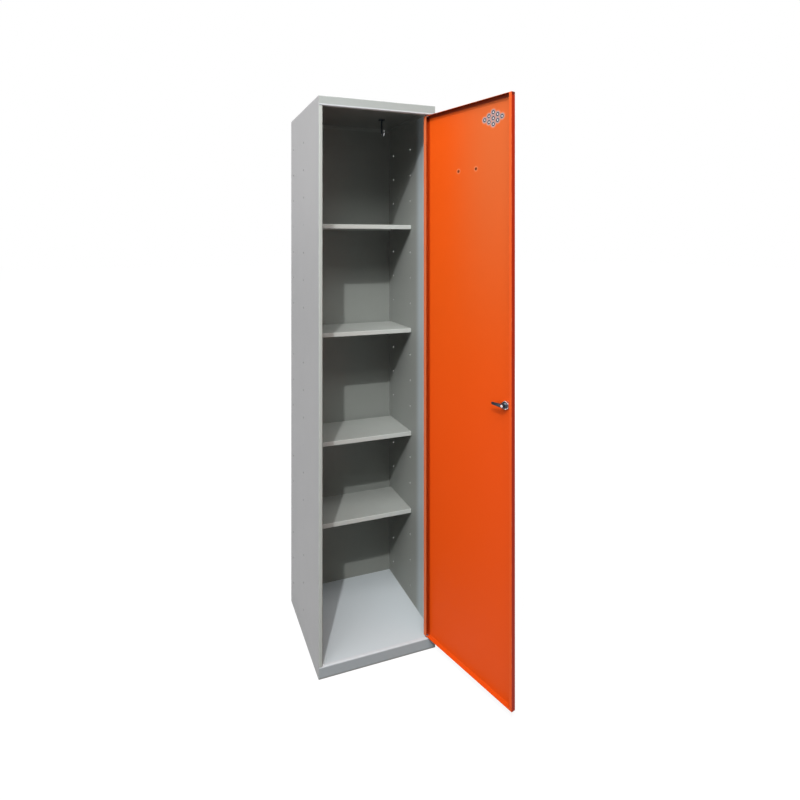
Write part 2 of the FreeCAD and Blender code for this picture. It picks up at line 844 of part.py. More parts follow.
# The bend is half a ring in an upright plane from front to back, its opening upward.
HALF_TURN = "180"
BEND_UPRIGHT = FreeCAD.Rotation(
    FreeCAD.Vector(0, 1, 0), FreeCAD.Vector(0, 0, -1), FreeCAD.Vector(-1, 0, 0)
)
tip_y = "hook_y - 2 * hook_bend_radius"
tip_z = "hook_turn + hook_tip"
ceiling_hook = fuse("ceiling_hook", [
    primitive(
        "Cylinder",
        "hook_plate",
        {"Radius": "hook_plate_radius", "Height": "hook_plate_thick"},
        ("hook_x", "hook_y", "hook_top"),
    ),
    primitive(
        "Cylinder",
        "hook_stem",
        {"Radius": "hook_wire_radius", "Height": "hook_stem"},
        ("hook_x", "hook_y", "hook_turn"),
    ),
    primitive(
        "Torus",
        "hook_bend",
        {"Radius1": "hook_bend_radius", "Radius2": "hook_wire_radius", "Angle3": HALF_TURN},
        ("hook_x", "hook_y - hook_bend_radius", "hook_turn"),
        BEND_UPRIGHT,
    ),
    primitive(
        "Cylinder",
        "hook_tip",
        {"Radius": "hook_wire_radius", "Height": "hook_tip"},
        ("hook_x", tip_y, "hook_turn"),
    ),
    primitive("Sphere", "hook_ball", {"Radius": "hook_ball_radius"}, ("hook_x", tip_y, tip_z)),
])

# ---------------------------------------------------------------- check and export

nodes = [
    left_side_panel,
    right_side_panel,
    back_panel,
    roof_panel,
    floor_panel,
    *shelves,
    shelf_pegs,
    door_panel,
    hinge_pin_top,
    hinge_pin_bottom,
    hinge_bush_top,
    hinge_bush_bottom,
    *lock_pieces,
    card_holder,
    card_holder_rivets,
    ceiling_hook,
]

doc.recompute()
for item in doc.Objects:
    if "Invalid" in item.State or "Error" in item.State:
        raise RuntimeError(f"{item.Label} did not compute")
for node in nodes:
    if node.Shape.isNull() or not node.Shape.isValid():
        raise RuntimeError(f"{node.Label} has no sound shape")
    node.Shape.exportStep(f"parts/{node.Label}.step")
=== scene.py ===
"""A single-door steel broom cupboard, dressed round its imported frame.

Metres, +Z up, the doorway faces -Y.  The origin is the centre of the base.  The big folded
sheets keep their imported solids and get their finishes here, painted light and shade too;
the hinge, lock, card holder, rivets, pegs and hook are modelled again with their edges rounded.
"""

import logging
import math
from collections.abc import Sequence
from dataclasses import dataclass, replace
from enum import Enum
from typing import ClassVar

import bmesh
import bpy
from mathutils import Matrix, Vector


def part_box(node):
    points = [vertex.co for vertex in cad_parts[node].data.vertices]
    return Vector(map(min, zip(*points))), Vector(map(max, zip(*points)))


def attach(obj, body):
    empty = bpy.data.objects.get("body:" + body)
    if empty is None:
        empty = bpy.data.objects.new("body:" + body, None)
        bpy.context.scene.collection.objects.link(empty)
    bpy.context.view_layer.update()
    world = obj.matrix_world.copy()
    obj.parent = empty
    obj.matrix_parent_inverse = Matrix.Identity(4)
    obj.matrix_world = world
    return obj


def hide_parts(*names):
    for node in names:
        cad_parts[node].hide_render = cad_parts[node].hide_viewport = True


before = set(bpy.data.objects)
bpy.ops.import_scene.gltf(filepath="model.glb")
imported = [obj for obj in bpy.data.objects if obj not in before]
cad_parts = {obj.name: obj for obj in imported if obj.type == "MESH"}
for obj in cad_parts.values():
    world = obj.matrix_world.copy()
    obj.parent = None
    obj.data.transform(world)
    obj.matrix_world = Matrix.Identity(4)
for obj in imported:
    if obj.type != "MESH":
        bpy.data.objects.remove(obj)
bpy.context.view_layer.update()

MM = 0.001

# How deep in a sheet the tone of one face starts to give way to that of the other, and ends.
MID_SHEET = (0.3 * MM, 0.5 * MM)

# The part of a face's direction that lies along an axis: where it starts to count as facing
# that way, and from where it fully does.
FACING = (0.7, 0.9)

log = logging.getLogger("broom_cupboard")

Colour = tuple[float, float, float, float]
Pair = tuple[float, float]
Feed = bpy.types.NodeSocket | float | Sequence[float]

# What a node group is given, as the outputs of its first node, and the inputs of its last.
Takes = bpy.types.NodeOutputs
Gives = bpy.types.NodeInputs


class Body(Enum):
    """The bodies that the joints move apart."""

    CUPBOARD = "cupboard"
    DOOR = "door"
    LOCK_CAM = "lock_cam"


class Slot(Enum):
    """The names of the finish slots."""

    CARCASS_PAINT = "carcass_paint"
    DOOR_PAINT = "door_paint"
    ZINC_PLATE = "zinc_plate"
    BRIGHT_CHROME = "bright_chrome"
    NYLON = "nylon"


class Side(Enum):
    """The two hands of the cupboard, as signs along X."""

    LEFT = -1
    RIGHT = 1


# ---------------------------------------------------------------- node trees


class Wiring:
    """Places the nodes of one tree and joins them."""

    def __init__(self, tree: bpy.types.NodeTree) -> None:
        """Takes the tree to work in."""
        self.tree = tree

    def feed(self, socket: bpy.types.NodeSocket, value: Feed) -> None:
        """Joins a socket to another, or sets it.

        Args:
            socket: The input that is fed.
            value: An output to join to it, or its plain value.
        """
        if isinstance(value, bpy.types.NodeSocket):
            self.tree.links.new(value, socket)
        else:
            socket.default_value = value

    def place(
        self, kind: str, feeds: dict[str | int, Feed] | None = None, **settings: object
    ) -> bpy.types.Node:
        """Adds a node.

        Args:
            kind: The node's type.
            feeds: What goes to each input, by its name or number.
            **settings: The node's own settings.

        Returns:
            The new node.
        """
        node = self.tree.nodes.new(kind)
        for name, setting in settings.items():
            setattr(node, name, setting)
        for socket, value in (feeds or {}).items():
            self.feed(node.inputs[socket], value)
        return node

    def maths(
        self, operation: str, first: Feed, second: Feed = 0.0, third: Feed = 0.0
    ) -> bpy.types.NodeSocket:
        """The result of a Math node."""
        feeds = {0: first, 1: second, 2: third}
        return self.place("ShaderNodeMath", feeds, operation=operation).outputs[0]

    def vector(self, operation: str, first: Feed, second: Feed) -> bpy.types.NodeSocket:
        """The result of a Vector Math node."""
        feeds = {0: first, 1: second}
        return self.place("ShaderNodeVectorMath", feeds, operation=operation).outputs[0]

    def ease(self, value: Feed, start: Feed, end: Feed) -> bpy.types.NodeSocket:
        """Goes smoothly from 0 to 1 while the value goes from start to end.

        Args:
            value: The value that is followed.
            start: Where the way starts.
            end: Where it ends.

        Returns:
            The share of the way that is behind, from 0 to 1.
        """
        feeds = {"Value": value, "From Min": start, "From Max": end}
        node = self.place("ShaderNodeMapRange", feeds, interpolation_type="SMOOTHSTEP")
        return node.outputs["Result"]

    def noise(
        self, place: Feed, scale: Feed, detail: float = 2.0, roughness: float = 0.5
    ) -> bpy.types.NodeSocket:
        """The value of a Noise Texture at a place."""
        feeds = {"Vector": place, "Scale": scale, "Detail": detail, "Roughness": roughness}
        return self.place("ShaderNodeTexNoise", feeds).outputs[0]

    def tint(self, share: Feed, under: Feed, over: Feed) -> bpy.types.NodeSocket:
        """One colour laid over another.

        Args:
            share: How much of the upper colour shows.
            under: The lower colour.
            over: The upper colour.

        Returns:
            The mixed colour.
        """
        feeds = {0: share, 6: under, 7: over}
        return self.place("ShaderNodeMix", feeds, data_type="RGBA").outputs[2]

    def shade(self, colour: Feed, level: Feed) -> bpy.types.NodeSocket:
        """A colour made lighter or darker by a level."""
        feeds = {"Color": colour, "Value": level}
        return self.place("ShaderNodeHueSaturation", feeds).outputs[0]

    def split(self, vector: Feed) -> tuple[bpy.types.NodeSocket, ...]:
        """The three parts of a vector."""
        return tuple(self.place("ShaderNodeSeparateXYZ", {0: vector}).outputs)

    def bump(self, height: Feed, strength: float) -> bpy.types.NodeSocket:
        """The surface's direction once it is raised by a height in metres."""
        feeds = {"Height": height, "Distance": 1.0, "Strength": strength}
        return self.place("ShaderNodeBump", feeds).outputs[0]

    def own_place(self) -> bpy.types.NodeSocket:
        """A point's own place on its piece."""
        return self.place("ShaderNodeTexCoord").outputs["Object"]

    def facing(self) -> bpy.types.NodeSocket:
        """Which way the surface faces."""
        return self.place("ShaderNodeNewGeometry").outputs["Normal"]


class Effect:
    """A shader node group that several finishes share, built once."""

    NAME: ClassVar[str]
    TAKES: ClassVar[dict[str, float | None]]
    GIVES: ClassVar[tuple[str, ...]]

    @classmethod
    def wire(cls, wiring: Wiring, takes: Takes, gives: Gives) -> None:
        """Joins what the group takes to what it gives."""
        raise NotImplementedError

    @classmethod
    def group(cls) -> bpy.types.NodeTree:
        """Builds the group the first time it is asked for.

        Returns:
            The node group.
        """
        known = bpy.data.node_groups.get(cls.NAME)
        if known is not None:
            return known
        tree = bpy.data.node_groups.new(cls.NAME, "ShaderNodeTree")
        for name, default in cls.TAKES.items():
            kind = "NodeSocketVector" if default is None else "NodeSocketFloat"
            socket = tree.interface.new_socket(name=name, in_out="INPUT", socket_type=kind)
            if default is not None:
                socket.default_value = default
        for name in cls.GIVES:
            tree.interface.new_socket(name=name, in_out="OUTPUT", socket_type="NodeSocketFloat")
        wiring = Wiring(tree)
        source = wiring.place("NodeGroupInput")
        result = wiring.place("NodeGroupOutput")
        cls.wire(wiring, source.outputs, result.inputs)
        return tree

    @classmethod
    def use(cls, wiring: Wiring, **feeds: Feed) -> Takes:
        """Places the group in a material.

        Args:
            wiring: The material's wiring.
            **feeds: What goes to each of the group's inputs.

        Returns:
            The placed group's outputs.
        """
        node = wiring.place("ShaderNodeGroup", node_tree=cls.group())
        for name, value in feeds.items():
            wiring.feed(node.inputs[name], value)
        return node.outputs


class PowderSkin(Effect):
    """Orange peel, the slight waves of a folded sheet, and an uneven depth of colour."""

    NAME = "powder_skin"
    TAKES = {
        "Place": None,
        "Peel": 620.0,
        "PeelHeight": 0.02 * MM,
        "Waves": 3.2,
        "WaveHeight": 0.5 * MM,
    }
    GIVES = ("Height", "Mottle")

    @classmethod
    def wire(cls, wiring: Wiring, takes: Takes, gives: Gives) -> None:
        """Adds fine noise to slow noise, each with its own height.

        Args:
            wiring: The group's wiring.
            takes: What the group is given.
            gives: What it hands on.
        """
        peel = wiring.noise(takes["Place"], takes["Peel"], detail=1.0)
        waves = wiring.noise(takes["Place"], takes["Waves"], detail=1.0)
        fine = wiring.maths("MULTIPLY", peel, takes["PeelHeight"])
        height = wiring.maths("MULTIPLY_ADD", waves, takes["WaveHeight"], fine)
        mottle = wiring.noise(takes["Place"], scale=11.0, detail=4.0, roughness=0.6)
        wiring.feed(gives["Height"], height)
        wiring.feed(gives["Mottle"], mottle)


class WornEdges(Effect):
    """Where a box-shaped piece is rubbed: along the edges of its box."""

    NAME = "worn_edges"
    TAKES = {"Place": None, "Low": None, "High": None, "Reach": 2.5 * MM, "Amount": 1.0}
    GIVES = ("Mask",)

    @classmethod
    def wire(cls, wiring: Wiring, takes: Takes, gives: Gives) -> None:
        """Finds the second nearest face of the box: an edge is near two faces at once.

        Args:
            wiring: The group's wiring.
            takes: What the group is given.
            gives: What it hands on.
        """
        above = wiring.vector("SUBTRACT", takes["Place"], takes["Low"])
        below = wiring.vector("SUBTRACT", takes["High"], takes["Place"])
        along_x, along_y, along_z = wiring.split(wiring.vector("MINIMUM", above, below))
        nearer = wiring.maths("MINIMUM", along_x, along_y)
        farther = wiring.maths("MAXIMUM", along_x, along_y)
        second = wiring.maths("MAXIMUM", nearer, wiring.maths("MINIMUM", farther, along_z))
        edge = wiring.ease(second, takes["Reach"], 0.0)
        noise = wiring.noise(takes["Place"], scale=38.0, detail=5.0, roughness=0.65)
        patches = wiring.ease(noise, start=0.5, end=0.64)
        worn = wiring.maths("MULTIPLY", edge, patches)
        wiring.feed(gives["Mask"], wiring.maths("MULTIPLY", worn, takes["Amount"]))


class SettledDust(Effect):
    """Dust that lies on ledges, and grime that creeps up from the floor."""

    NAME = "settled_dust"
    TAKES = {"Place": None, "Ledge": 0.5, "Foot": 0.5, "FootHeight": 0.16}
    GIVES = ("Mask",)

    @classmethod
    def wire(cls, wiring: Wiring, takes: Takes, gives: Gives) -> None:
        """Adds what faces up to what is low, and breaks both up.

        Args:
            wiring: The group's wiring.
            takes: What the group is given.
            gives: What it hands on.
        """
        facing_up = wiring.ease(wiring.split(wiring.facing())[2], start=0.6, end=0.95)
        low = wiring.ease(wiring.split(takes["Place"])[2], takes["FootHeight"], 0.0)
        ledges = wiring.maths("MULTIPLY", facing_up, takes["Ledge"])
        both = wiring.maths("MULTIPLY_ADD", low, takes["Foot"], ledges)
        noise = wiring.noise(takes["Place"], scale=16.0, detail=6.0, roughness=0.62)
        patches = wiring.ease(noise, start=0.3, end=0.72)
        wiring.feed(gives["Mask"], wiring.maths("MULTIPLY", both, patches))


class LongRubs(Effect):
    """Thin marks that run one way, as brushing and rubbing leave them."""

    NAME = "long_rubs"
    TAKES = {"Place": None, "Stretch": None, "Start": 0.58, "End": 0.8}
    GIVES = ("Mask",)

    @classmethod
    def wire(cls, wiring: Wiring, takes: Takes, gives: Gives) -> None:
        """Stretches a noise, and keeps its highest values.

        Args:
            wiring: The group's wiring.
            takes: What the group is given.
            gives: What it hands on.
        """
        stretched = wiring.vector("MULTIPLY", takes["Place"], takes["Stretch"])
        marks = wiring.noise(stretched, scale=1.0, detail=4.0, roughness=0.6)
        wiring.feed(gives["Mask"], wiring.ease(marks, takes["Start"], takes["End"]))


class DotRow(Effect):
    """Round marks in an endless row, at a steady pitch."""

    NAME = "dot_row"
    TAKES = {"Along": 0.0, "Across": 0.0, "Pitch": 0.05, "Inner": 0.0, "Outer": 0.004}
    GIVES = ("Mask",)

    @classmethod
    def wire(cls, wiring: Wiring, takes: Takes, gives: Gives) -> None:
        """Wraps the way along the row, and measures from the nearest mark's centre.

        Args:
            wiring: The group's wiring.
            takes: What the group is given.
            gives: What it hands on.
        """
        half = wiring.maths("MULTIPLY", takes["Pitch"], 0.5)
        behind = wiring.maths("MULTIPLY", half, -1.0)
        along = wiring.maths("WRAP", takes["Along"], half, behind)
        squares = wiring.maths("MULTIPLY", takes["Across"], takes["Across"])
        away = wiring.maths("SQRT", wiring.maths("MULTIPLY_ADD", along, along, squares))
        wiring.feed(gives["Mask"], wiring.ease(away, takes["Outer"], takes["Inner"]))


def new_material(name: str) -> tuple[bpy.types.Material, Wiring]:
    """A material without any nodes yet, and the wiring for them.

    Args:
        name: The material's name.

    Returns:
        The material and its wiring.
    """
    material = bpy.data.materials.new(name)
    material.use_nodes = True
    material.node_tree.nodes.clear()
    return material, Wiring(material.node_tree)


# ---------------------------------------------------------------- finishes


@dataclass(frozen=True)
class DoorPlace:
    """Where the door hangs: the hinge axis and the angle at which it rests open."""

    hinge_x: float = 174.5 * MM
    hinge_y: float = -191.0 * MM
    angle: float = math.radians(105.0)

    def matrix(self) -> Matrix:
        """From the closed door's own coordinates to the cupboard's."""
        turned = Matrix.Rotation(self.angle, 4, "Z")
        return Matrix.Translation((self.hinge_x, self.hinge_y, 0.0)) @ turned

    def own_place(self, wiring: Wiring) -> bpy.types.NodeSocket:
        """A point's place in the closed door's own coordinates.

        Args:
            wiring: The material's wiring.

        Returns:
            The place.
        """
        feeds = {
            "Vector": wiring.own_place(),
            "Location": (self.hinge_x, self.hinge_y, 0.0),
            "Rotation": (0.0, 0.0, self.angle),
        }
        return wiring.place("ShaderNodeMapping", feeds, vector_type="TEXTURE").outputs[0]


DOOR_PLACE = DoorPlace()


class Mark:
    """A pattern of marks on a painted sheet. A subclass says where they are."""

    colour: Colour
    strength: float
    height: float

    def mask(self, wiring: Wiring, place: bpy.types.NodeSocket) -> bpy.types.NodeSocket:
        """How strongly a place is marked, from 0 to 1."""
        raise NotImplementedError


@dataclass(frozen=True)
class PegHoleRims(Mark):
    """The pressed rims round a side's two columns of shelf holes, with a painted highlight on them
    unless another colour is given.
    """

    first_row: float = 90.0 * MM
    pitch: float = 94.0 * MM
    steps: int = 17
    columns: Pair = (0.0, 158.0 * MM)
    inner: float = 3.4 * MM
    outer: float = 7.0 * MM
    # Painted highlight on the pressed rims.
    colour: Colour = (0.66, 0.67, 0.66, 1.0)
    strength: float = 0.30
    height: float = -0.35 * MM

    def mask(self, wiring: Wiring, place: bpy.types.NodeSocket) -> bpy.types.NodeSocket:
        """Rings round the holes of both columns, and none above the last row.

        Args:
            wiring: The material's wiring.
            place: A point's place on its piece.

        Returns:
            The mask, from 0 to 1.
        """
        _, y, z = wiring.split(place)
        front, rear = (
            wiring.maths("ABSOLUTE", wiring.maths("SUBTRACT", y, column))
            for column in self.columns
        )
        across = wiring.maths("MINIMUM", front, rear)
        along = wiring.maths("SUBTRACT", z, self.first_row)
        rings = DotRow.use(
            wiring, Along=along, Across=across, Pitch=self.pitch, Inner=self.inner, Outer=self.outer
        )
        end = (self.steps + 0.5) * self.pitch
        below_end = wiring.maths("LESS_THAN", along, end)
        above_start = wiring.maths("GREATER_THAN", along, -0.5 * self.pitch)
        inside = wiring.maths("MULTIPLY", below_end, above_start)
        return wiring.maths("MULTIPLY", rings["Mask"], inside)


class Run(Enum):
    """The three axes, called after what runs along them, with their numbers."""

    ACROSS = 0
    DEEP = 1
    UPRIGHT = 2


@dataclass(frozen=True)
class SpotWelds(Mark):
    """Faint dimples where one sheet is welded to the next.

    The row lies on faces square to one axis, runs along a second, and stands at a level on the
    third.
    """

    run: Run
    level: float
    face: Run
    pitch: float = 62.0 * MM
    radius: float = 3.2 * MM
    colour: Colour = (0.30, 0.31, 0.30, 1.0)
    strength: float = 0.10
    height: float = -0.12 * MM

    def mask(self, wiring: Wiring, place: bpy.types.NodeSocket) -> bpy.types.NodeSocket:
        """Round marks on the faces that the row lies on.

        Args:
            wiring: The material's wiring.
            place: A point's place on its piece.

        Returns:
            The mask, from 0 to 1.
        """
        parts = wiring.split(place)
        third = ({run.value for run in Run} - {self.run.value, self.face.value}).pop()
        across = wiring.maths("SUBTRACT", wiring.maths("ABSOLUTE", parts[third]), self.level)
        row = DotRow.use(
            wiring, Along=parts[self.run.value], Across=across, Pitch=self.pitch, Outer=self.radius
        )
        facing = wiring.maths("ABSOLUTE", wiring.split(wiring.facing())[self.face.value])
        return wiring.maths("MULTIPLY", row["Mask"], wiring.ease(facing, *FACING))


@dataclass(frozen=True)
class FaceTone(Mark):
    """Painted light or shade: a tone on the faces that look one way along an axis."""

    axis: Run
    sign: float
    colour: Colour
    strength: float = 1.0
    height: float = 0.0

    def mask(self, wiring: Wiring, place: bpy.types.NodeSocket) -> bpy.types.NodeSocket:
        """1 on the faces that look that way."""
        facing = wiring.split(wiring.facing())[self.axis.value]
        return wiring.ease(wiring.maths("MULTIPLY", facing, self.sign), *FACING)


@dataclass(frozen=True)
class Ramp:
    """A way from nothing to all along one axis."""

    axis: Run
    start: float
    end: float

    def share(self, wiring: Wiring, parts: Sequence[bpy.types.NodeSocket]) -> bpy.types.NodeSocket:
        """How far along the way a place is, from its three parts."""
        return wiring.ease(parts[self.axis.value], self.start, self.end)


@dataclass(frozen=True)
class Zone(Mark):
    """A part of a sheet, bounded by ramps that are multiplied together."""

    ramps: tuple[Ramp, ...]
    colour: Colour
    strength: float = 1.0
    height: float = 0.0

    def mask(self, wiring: Wiring, place: bpy.types.NodeSocket) -> bpy.types.NodeSocket:
        """The product of the ramps.

        Args:
            wiring: The material's wiring.
            place: A point's place on its piece.

        Returns:
            The mask, from 0 to 1.
        """
        parts = wiring.split(place)
        inside: Feed = 1.0
        for ramp in self.ramps:
            inside = wiring.maths("MULTIPLY", inside, ramp.share(wiring, parts))
        return inside


@dataclass(frozen=True)
class RoundRims(Mark):
    """Rings about round holes: from an inner radius, strong, to an outer one, gone.

    They lie on one face of the sheet, the one that a ramp through the sheet picks out.
    """

    centres: tuple[Pair, ...]
    inner: float
    outer: float
    face: Ramp
    colour: Colour
    strength: float = 1.0
    height: float = 0.0

    def mask(self, wiring: Wiring, place: bpy.types.NodeSocket) -> bpy.types.NodeSocket:
        """How near the place is to the nearest centre, measured across X and Z.

        Args:
            wiring: The material's wiring.
            place: A point's place on its piece.

        Returns:
            The mask, from 0 to 1.
        """
        parts = wiring.split(place)
        x, _, z = parts
        nearest: Feed = 1.0
        for centre_x, centre_z in self.centres:
            across = wiring.maths("SUBTRACT", x, centre_x)
            up = wiring.maths("SUBTRACT", z, centre_z)
            squares = wiring.maths("MULTIPLY_ADD", up, up, wiring.maths("MULTIPLY", across, across))
            nearest = wiring.maths("MINIMUM", nearest, squares)
        rings = wiring.ease(wiring.maths("SQRT", nearest), self.outer, self.inner)
        return wiring.maths("MULTIPLY", rings, self.face.share(wiring, parts))


@dataclass(frozen=True)
class PowderCoat:
    """A baked powder coat on folded steel sheet."""

    colour: Colour
    worn_colour: Colour
    dust_colour: Colour
    bounce_colour: Colour
    roughness: float = 0.42
    shine: float = 0.35
    peel: float = 620.0
    wave_height: float = 0.5 * MM
    wear: float = 0.5
    ledge_dust: float = 0.18
    foot_dust: float = 0.22
    colour_play: float = 0.07
    gloss_play: float = 0.10
    dust_gloss: float = 0.3
    rub_gloss: float = 0.06
    rub_stretch: tuple[float, float, float] = (160.0, 160.0, 9.0)
    relief: float = 0.8
    refraction: float = 1.5

    def material(
        self,
        name: str,
        box: tuple[Vector, Vector],
        marks: Sequence[Mark] = (),
        door: DoorPlace | None = None,
    ) -> bpy.types.Material:
        """Makes the finish for one folded piece.

        Args:
            name: The material's name.
            box: The lowest and highest corner of the piece, in its own coordinates.
            marks: Patterns of marks that the piece carries.
            door: The door's place, if the piece is the door.

        Returns:
            The material.
        """
        material, wiring = new_material(name)
        place = door.own_place(wiring) if door else wiring.own_place()

        skin = PowderSkin.use(wiring, Place=place, Peel=self.peel, WaveHeight=self.wave_height)
        level = wiring.maths("SUBTRACT", skin["Mottle"], 0.5)
        depth = wiring.maths("MULTIPLY_ADD", level, self.colour_play, 1.0)
        shaded = wiring.shade(self.colour, depth)
        dust = SettledDust.use(wiring, Place=place, Ledge=self.ledge_dust, Foot=self.foot_dust)
        colour = wiring.tint(dust["Mask"], shaded, self.dust_colour)
        height = skin["Height"]
        for mark in marks:
            mask = mark.mask(wiring, place)
            share = wiring.maths("MULTIPLY", mask, mark.strength)
            colour = wiring.tint(share, colour, mark.colour)
            height = wiring.maths("MULTIPLY_ADD", mask, mark.height, height)
        worn = WornEdges.use(wiring, Place=place, Low=box[0], High=box[1], Amount=self.wear)
        colour = wiring.tint(worn["Mask"], colour, self.worn_colour)
        bounced = wiring.place("ShaderNodeLightPath").outputs["Is Diffuse Ray"]
        colour = wiring.tint(bounced, colour, self.bounce_colour)

        rubs = LongRubs.use(wiring, Place=place, Stretch=self.rub_stretch)
        gloss = wiring.maths("MULTIPLY_ADD", level, self.gloss_play, self.roughness)
        gloss = wiring.maths("MULTIPLY_ADD", dust["Mask"], self.dust_gloss, gloss)
        gloss = wiring.maths("MULTIPLY_ADD", rubs["Mask"], self.rub_gloss, gloss)
        shader = wiring.place("ShaderNodeBsdfPrincipled", {
            "Base Color": colour,
            "Roughness": gloss,
            "Normal": wiring.bump(height, self.relief),
            "IOR": self.refraction,
            "Specular IOR Level": self.shine,
        })
        wiring.place("ShaderNodeOutputMaterial", {0: shader.outputs[0]})
        return material


@dataclass(frozen=True)
class PlatedMetal:
    """A plated steel or zinc piece, with rubbed lines and an uneven bloom."""

    name: str
    colour: Colour
    bloom_colour: Colour
    roughness: float
    bloom: float = 0.5
    bloom_scale: float = 190.0
    bloom_part: Pair = (0.38, 0.7)
    bloom_gloss: float = 0.12
    rub_start: float = 0.4
    rub_gloss: float = 0.08
    rub_height: float = 0.01 * MM
    rub_stretch: tuple[float, float, float] = (2600.0, 2600.0, 160.0)
    relief: float = 0.6

    def material(self) -> bpy.types.Material:
        """Makes the finish.

        Returns:
            The material.
        """
        material, wiring = new_material(self.name)
        place = wiring.own_place()
        noise = wiring.noise(place, self.bloom_scale, detail=4.0, roughness=0.6)
        clouds = wiring.ease(noise, *self.bloom_part)
        bloom = wiring.maths("MULTIPLY", clouds, self.bloom)
        colour = wiring.tint(bloom, self.colour, self.bloom_colour)
        rubs = LongRubs.use(wiring, Place=place, Stretch=self.rub_stretch, Start=self.rub_start)
        gloss = wiring.maths("MULTIPLY_ADD", clouds, self.bloom_gloss, self.roughness)
        gloss = wiring.maths("MULTIPLY_ADD", rubs["Mask"], self.rub_gloss, gloss)
        height = wiring.maths("MULTIPLY", rubs["Mask"], self.rub_height)
        shader = wiring.place("ShaderNodeBsdfPrincipled", {
            "Base Color": colour,
            "Roughness": gloss,
            "Metallic": 1.0,
            "Normal": wiring.bump(height, self.relief),
        })
        wiring.place("ShaderNodeOutputMaterial", {0: shader.outputs[0]})
        return material


@dataclass(frozen=True)
class MouldedNylon:
    """A dark moulded plastic with a fine sparked texture."""

    name: str
    colour: Colour
    cloud_colour: Colour
    roughness: float = 0.5
    cloud_scale: float = 240.0
    cloud_gloss: float = 0.15
    grain_scale: float = 2400.0
    grain_height: float = 0.02 * MM
    relief: float = 0.7

    def material(self) -> bpy.types.Material:
        """Makes the finish.

        Returns:
            The material.
        """
        material, wiring = new_material(self.name)
        place = wiring.own_place()
        clouds = wiring.noise(place, self.cloud_scale, detail=3.0)
        grain = wiring.noise(place, self.grain_scale, detail=2.0)
        height = wiring.maths("MULTIPLY", grain, self.grain_height)
        shader = wiring.place("ShaderNodeBsdfPrincipled", {
            "Base Color": wiring.tint(clouds, self.colour, self.cloud_colour),
            "Roughness": wiring.maths("MULTIPLY_ADD", clouds, self.cloud_gloss, self.roughness),
            "Normal": wiring.bump(height, self.relief),
        })
        wiring.place("ShaderNodeOutputMaterial", {0: shader.outputs[0]})
        return material


CARCASS_GREY = PowderCoat(
    colour=(0.450, 0.476, 0.448, 1.0),
    worn_colour=(0.66, 0.68, 0.66, 1.0),
    dust_colour=(0.40, 0.39, 0.36, 1.0),
    bounce_colour=(0.27, 0.285, 0.27, 1.0),
)
DOOR_ORANGE = PowderCoat(
    colour=(0.90, 0.105, 0.006, 1.0),
    worn_colour=(0.92, 0.26, 0.09, 1.0),
    dust_colour=(0.42, 0.20, 0.12, 1.0),
    bounce_colour=(0.30, 0.10, 0.05, 1.0),
    shine=0.15,
    wear=0.35,
)
ZINC = PlatedMetal(
    "zinc_plate",
    colour=(0.46, 0.49, 0.52, 1.0),
    bloom_colour=(0.62, 0.62, 0.58, 1.0),
    roughness=0.34,
)
# Dark zinc, also put on chrome pieces as a painted dark reflection.
DARK_ZINC_AND_REFLECTION = PlatedMetal(
    "dark_zinc_and_reflection",
    colour=(0.050, 0.062, 0.076, 1.0),
    bloom_colour=(0.085, 0.10, 0.12, 1.0),
    roughness=0.34,
)
TARNISH = PlatedMetal(
    "tarnish",
    colour=(0.20, 0.045, 0.012, 1.0),
    bloom_colour=(0.26, 0.070, 0.020, 1.0),
    roughness=0.50,
)
CHROME = PlatedMetal(
    "bright_chrome",
    colour=(0.86, 0.87, 0.89, 1.0),
    bloom_colour=(0.74, 0.75, 0.78, 1.0),
    roughness=0.10,
    bloom=0.3,
)
NYLON = MouldedNylon(
    "nylon", colour=(0.022, 0.022, 0.024, 1.0), cloud_colour=(0.045, 0.045, 0.048, 1.0)
)


@dataclass(frozen=True)
class Finishes:
    """The finishes of the small pieces."""

    zinc: bpy.types.Material
    dark_zinc_and_reflection: bpy.types.Material
    tarnish: bpy.types.Material
    chrome: bpy.types.Material
    nylon: bpy.types.Material

    @classmethod
    def mixed(cls) -> "Finishes":
        """Makes the finishes."""
        return cls(*(coat.material() for coat in (ZINC, DARK_ZINC_AND_REFLECTION, TARNISH, CHROME, NYLON)))


# ---------------------------------------------------------------- shapes


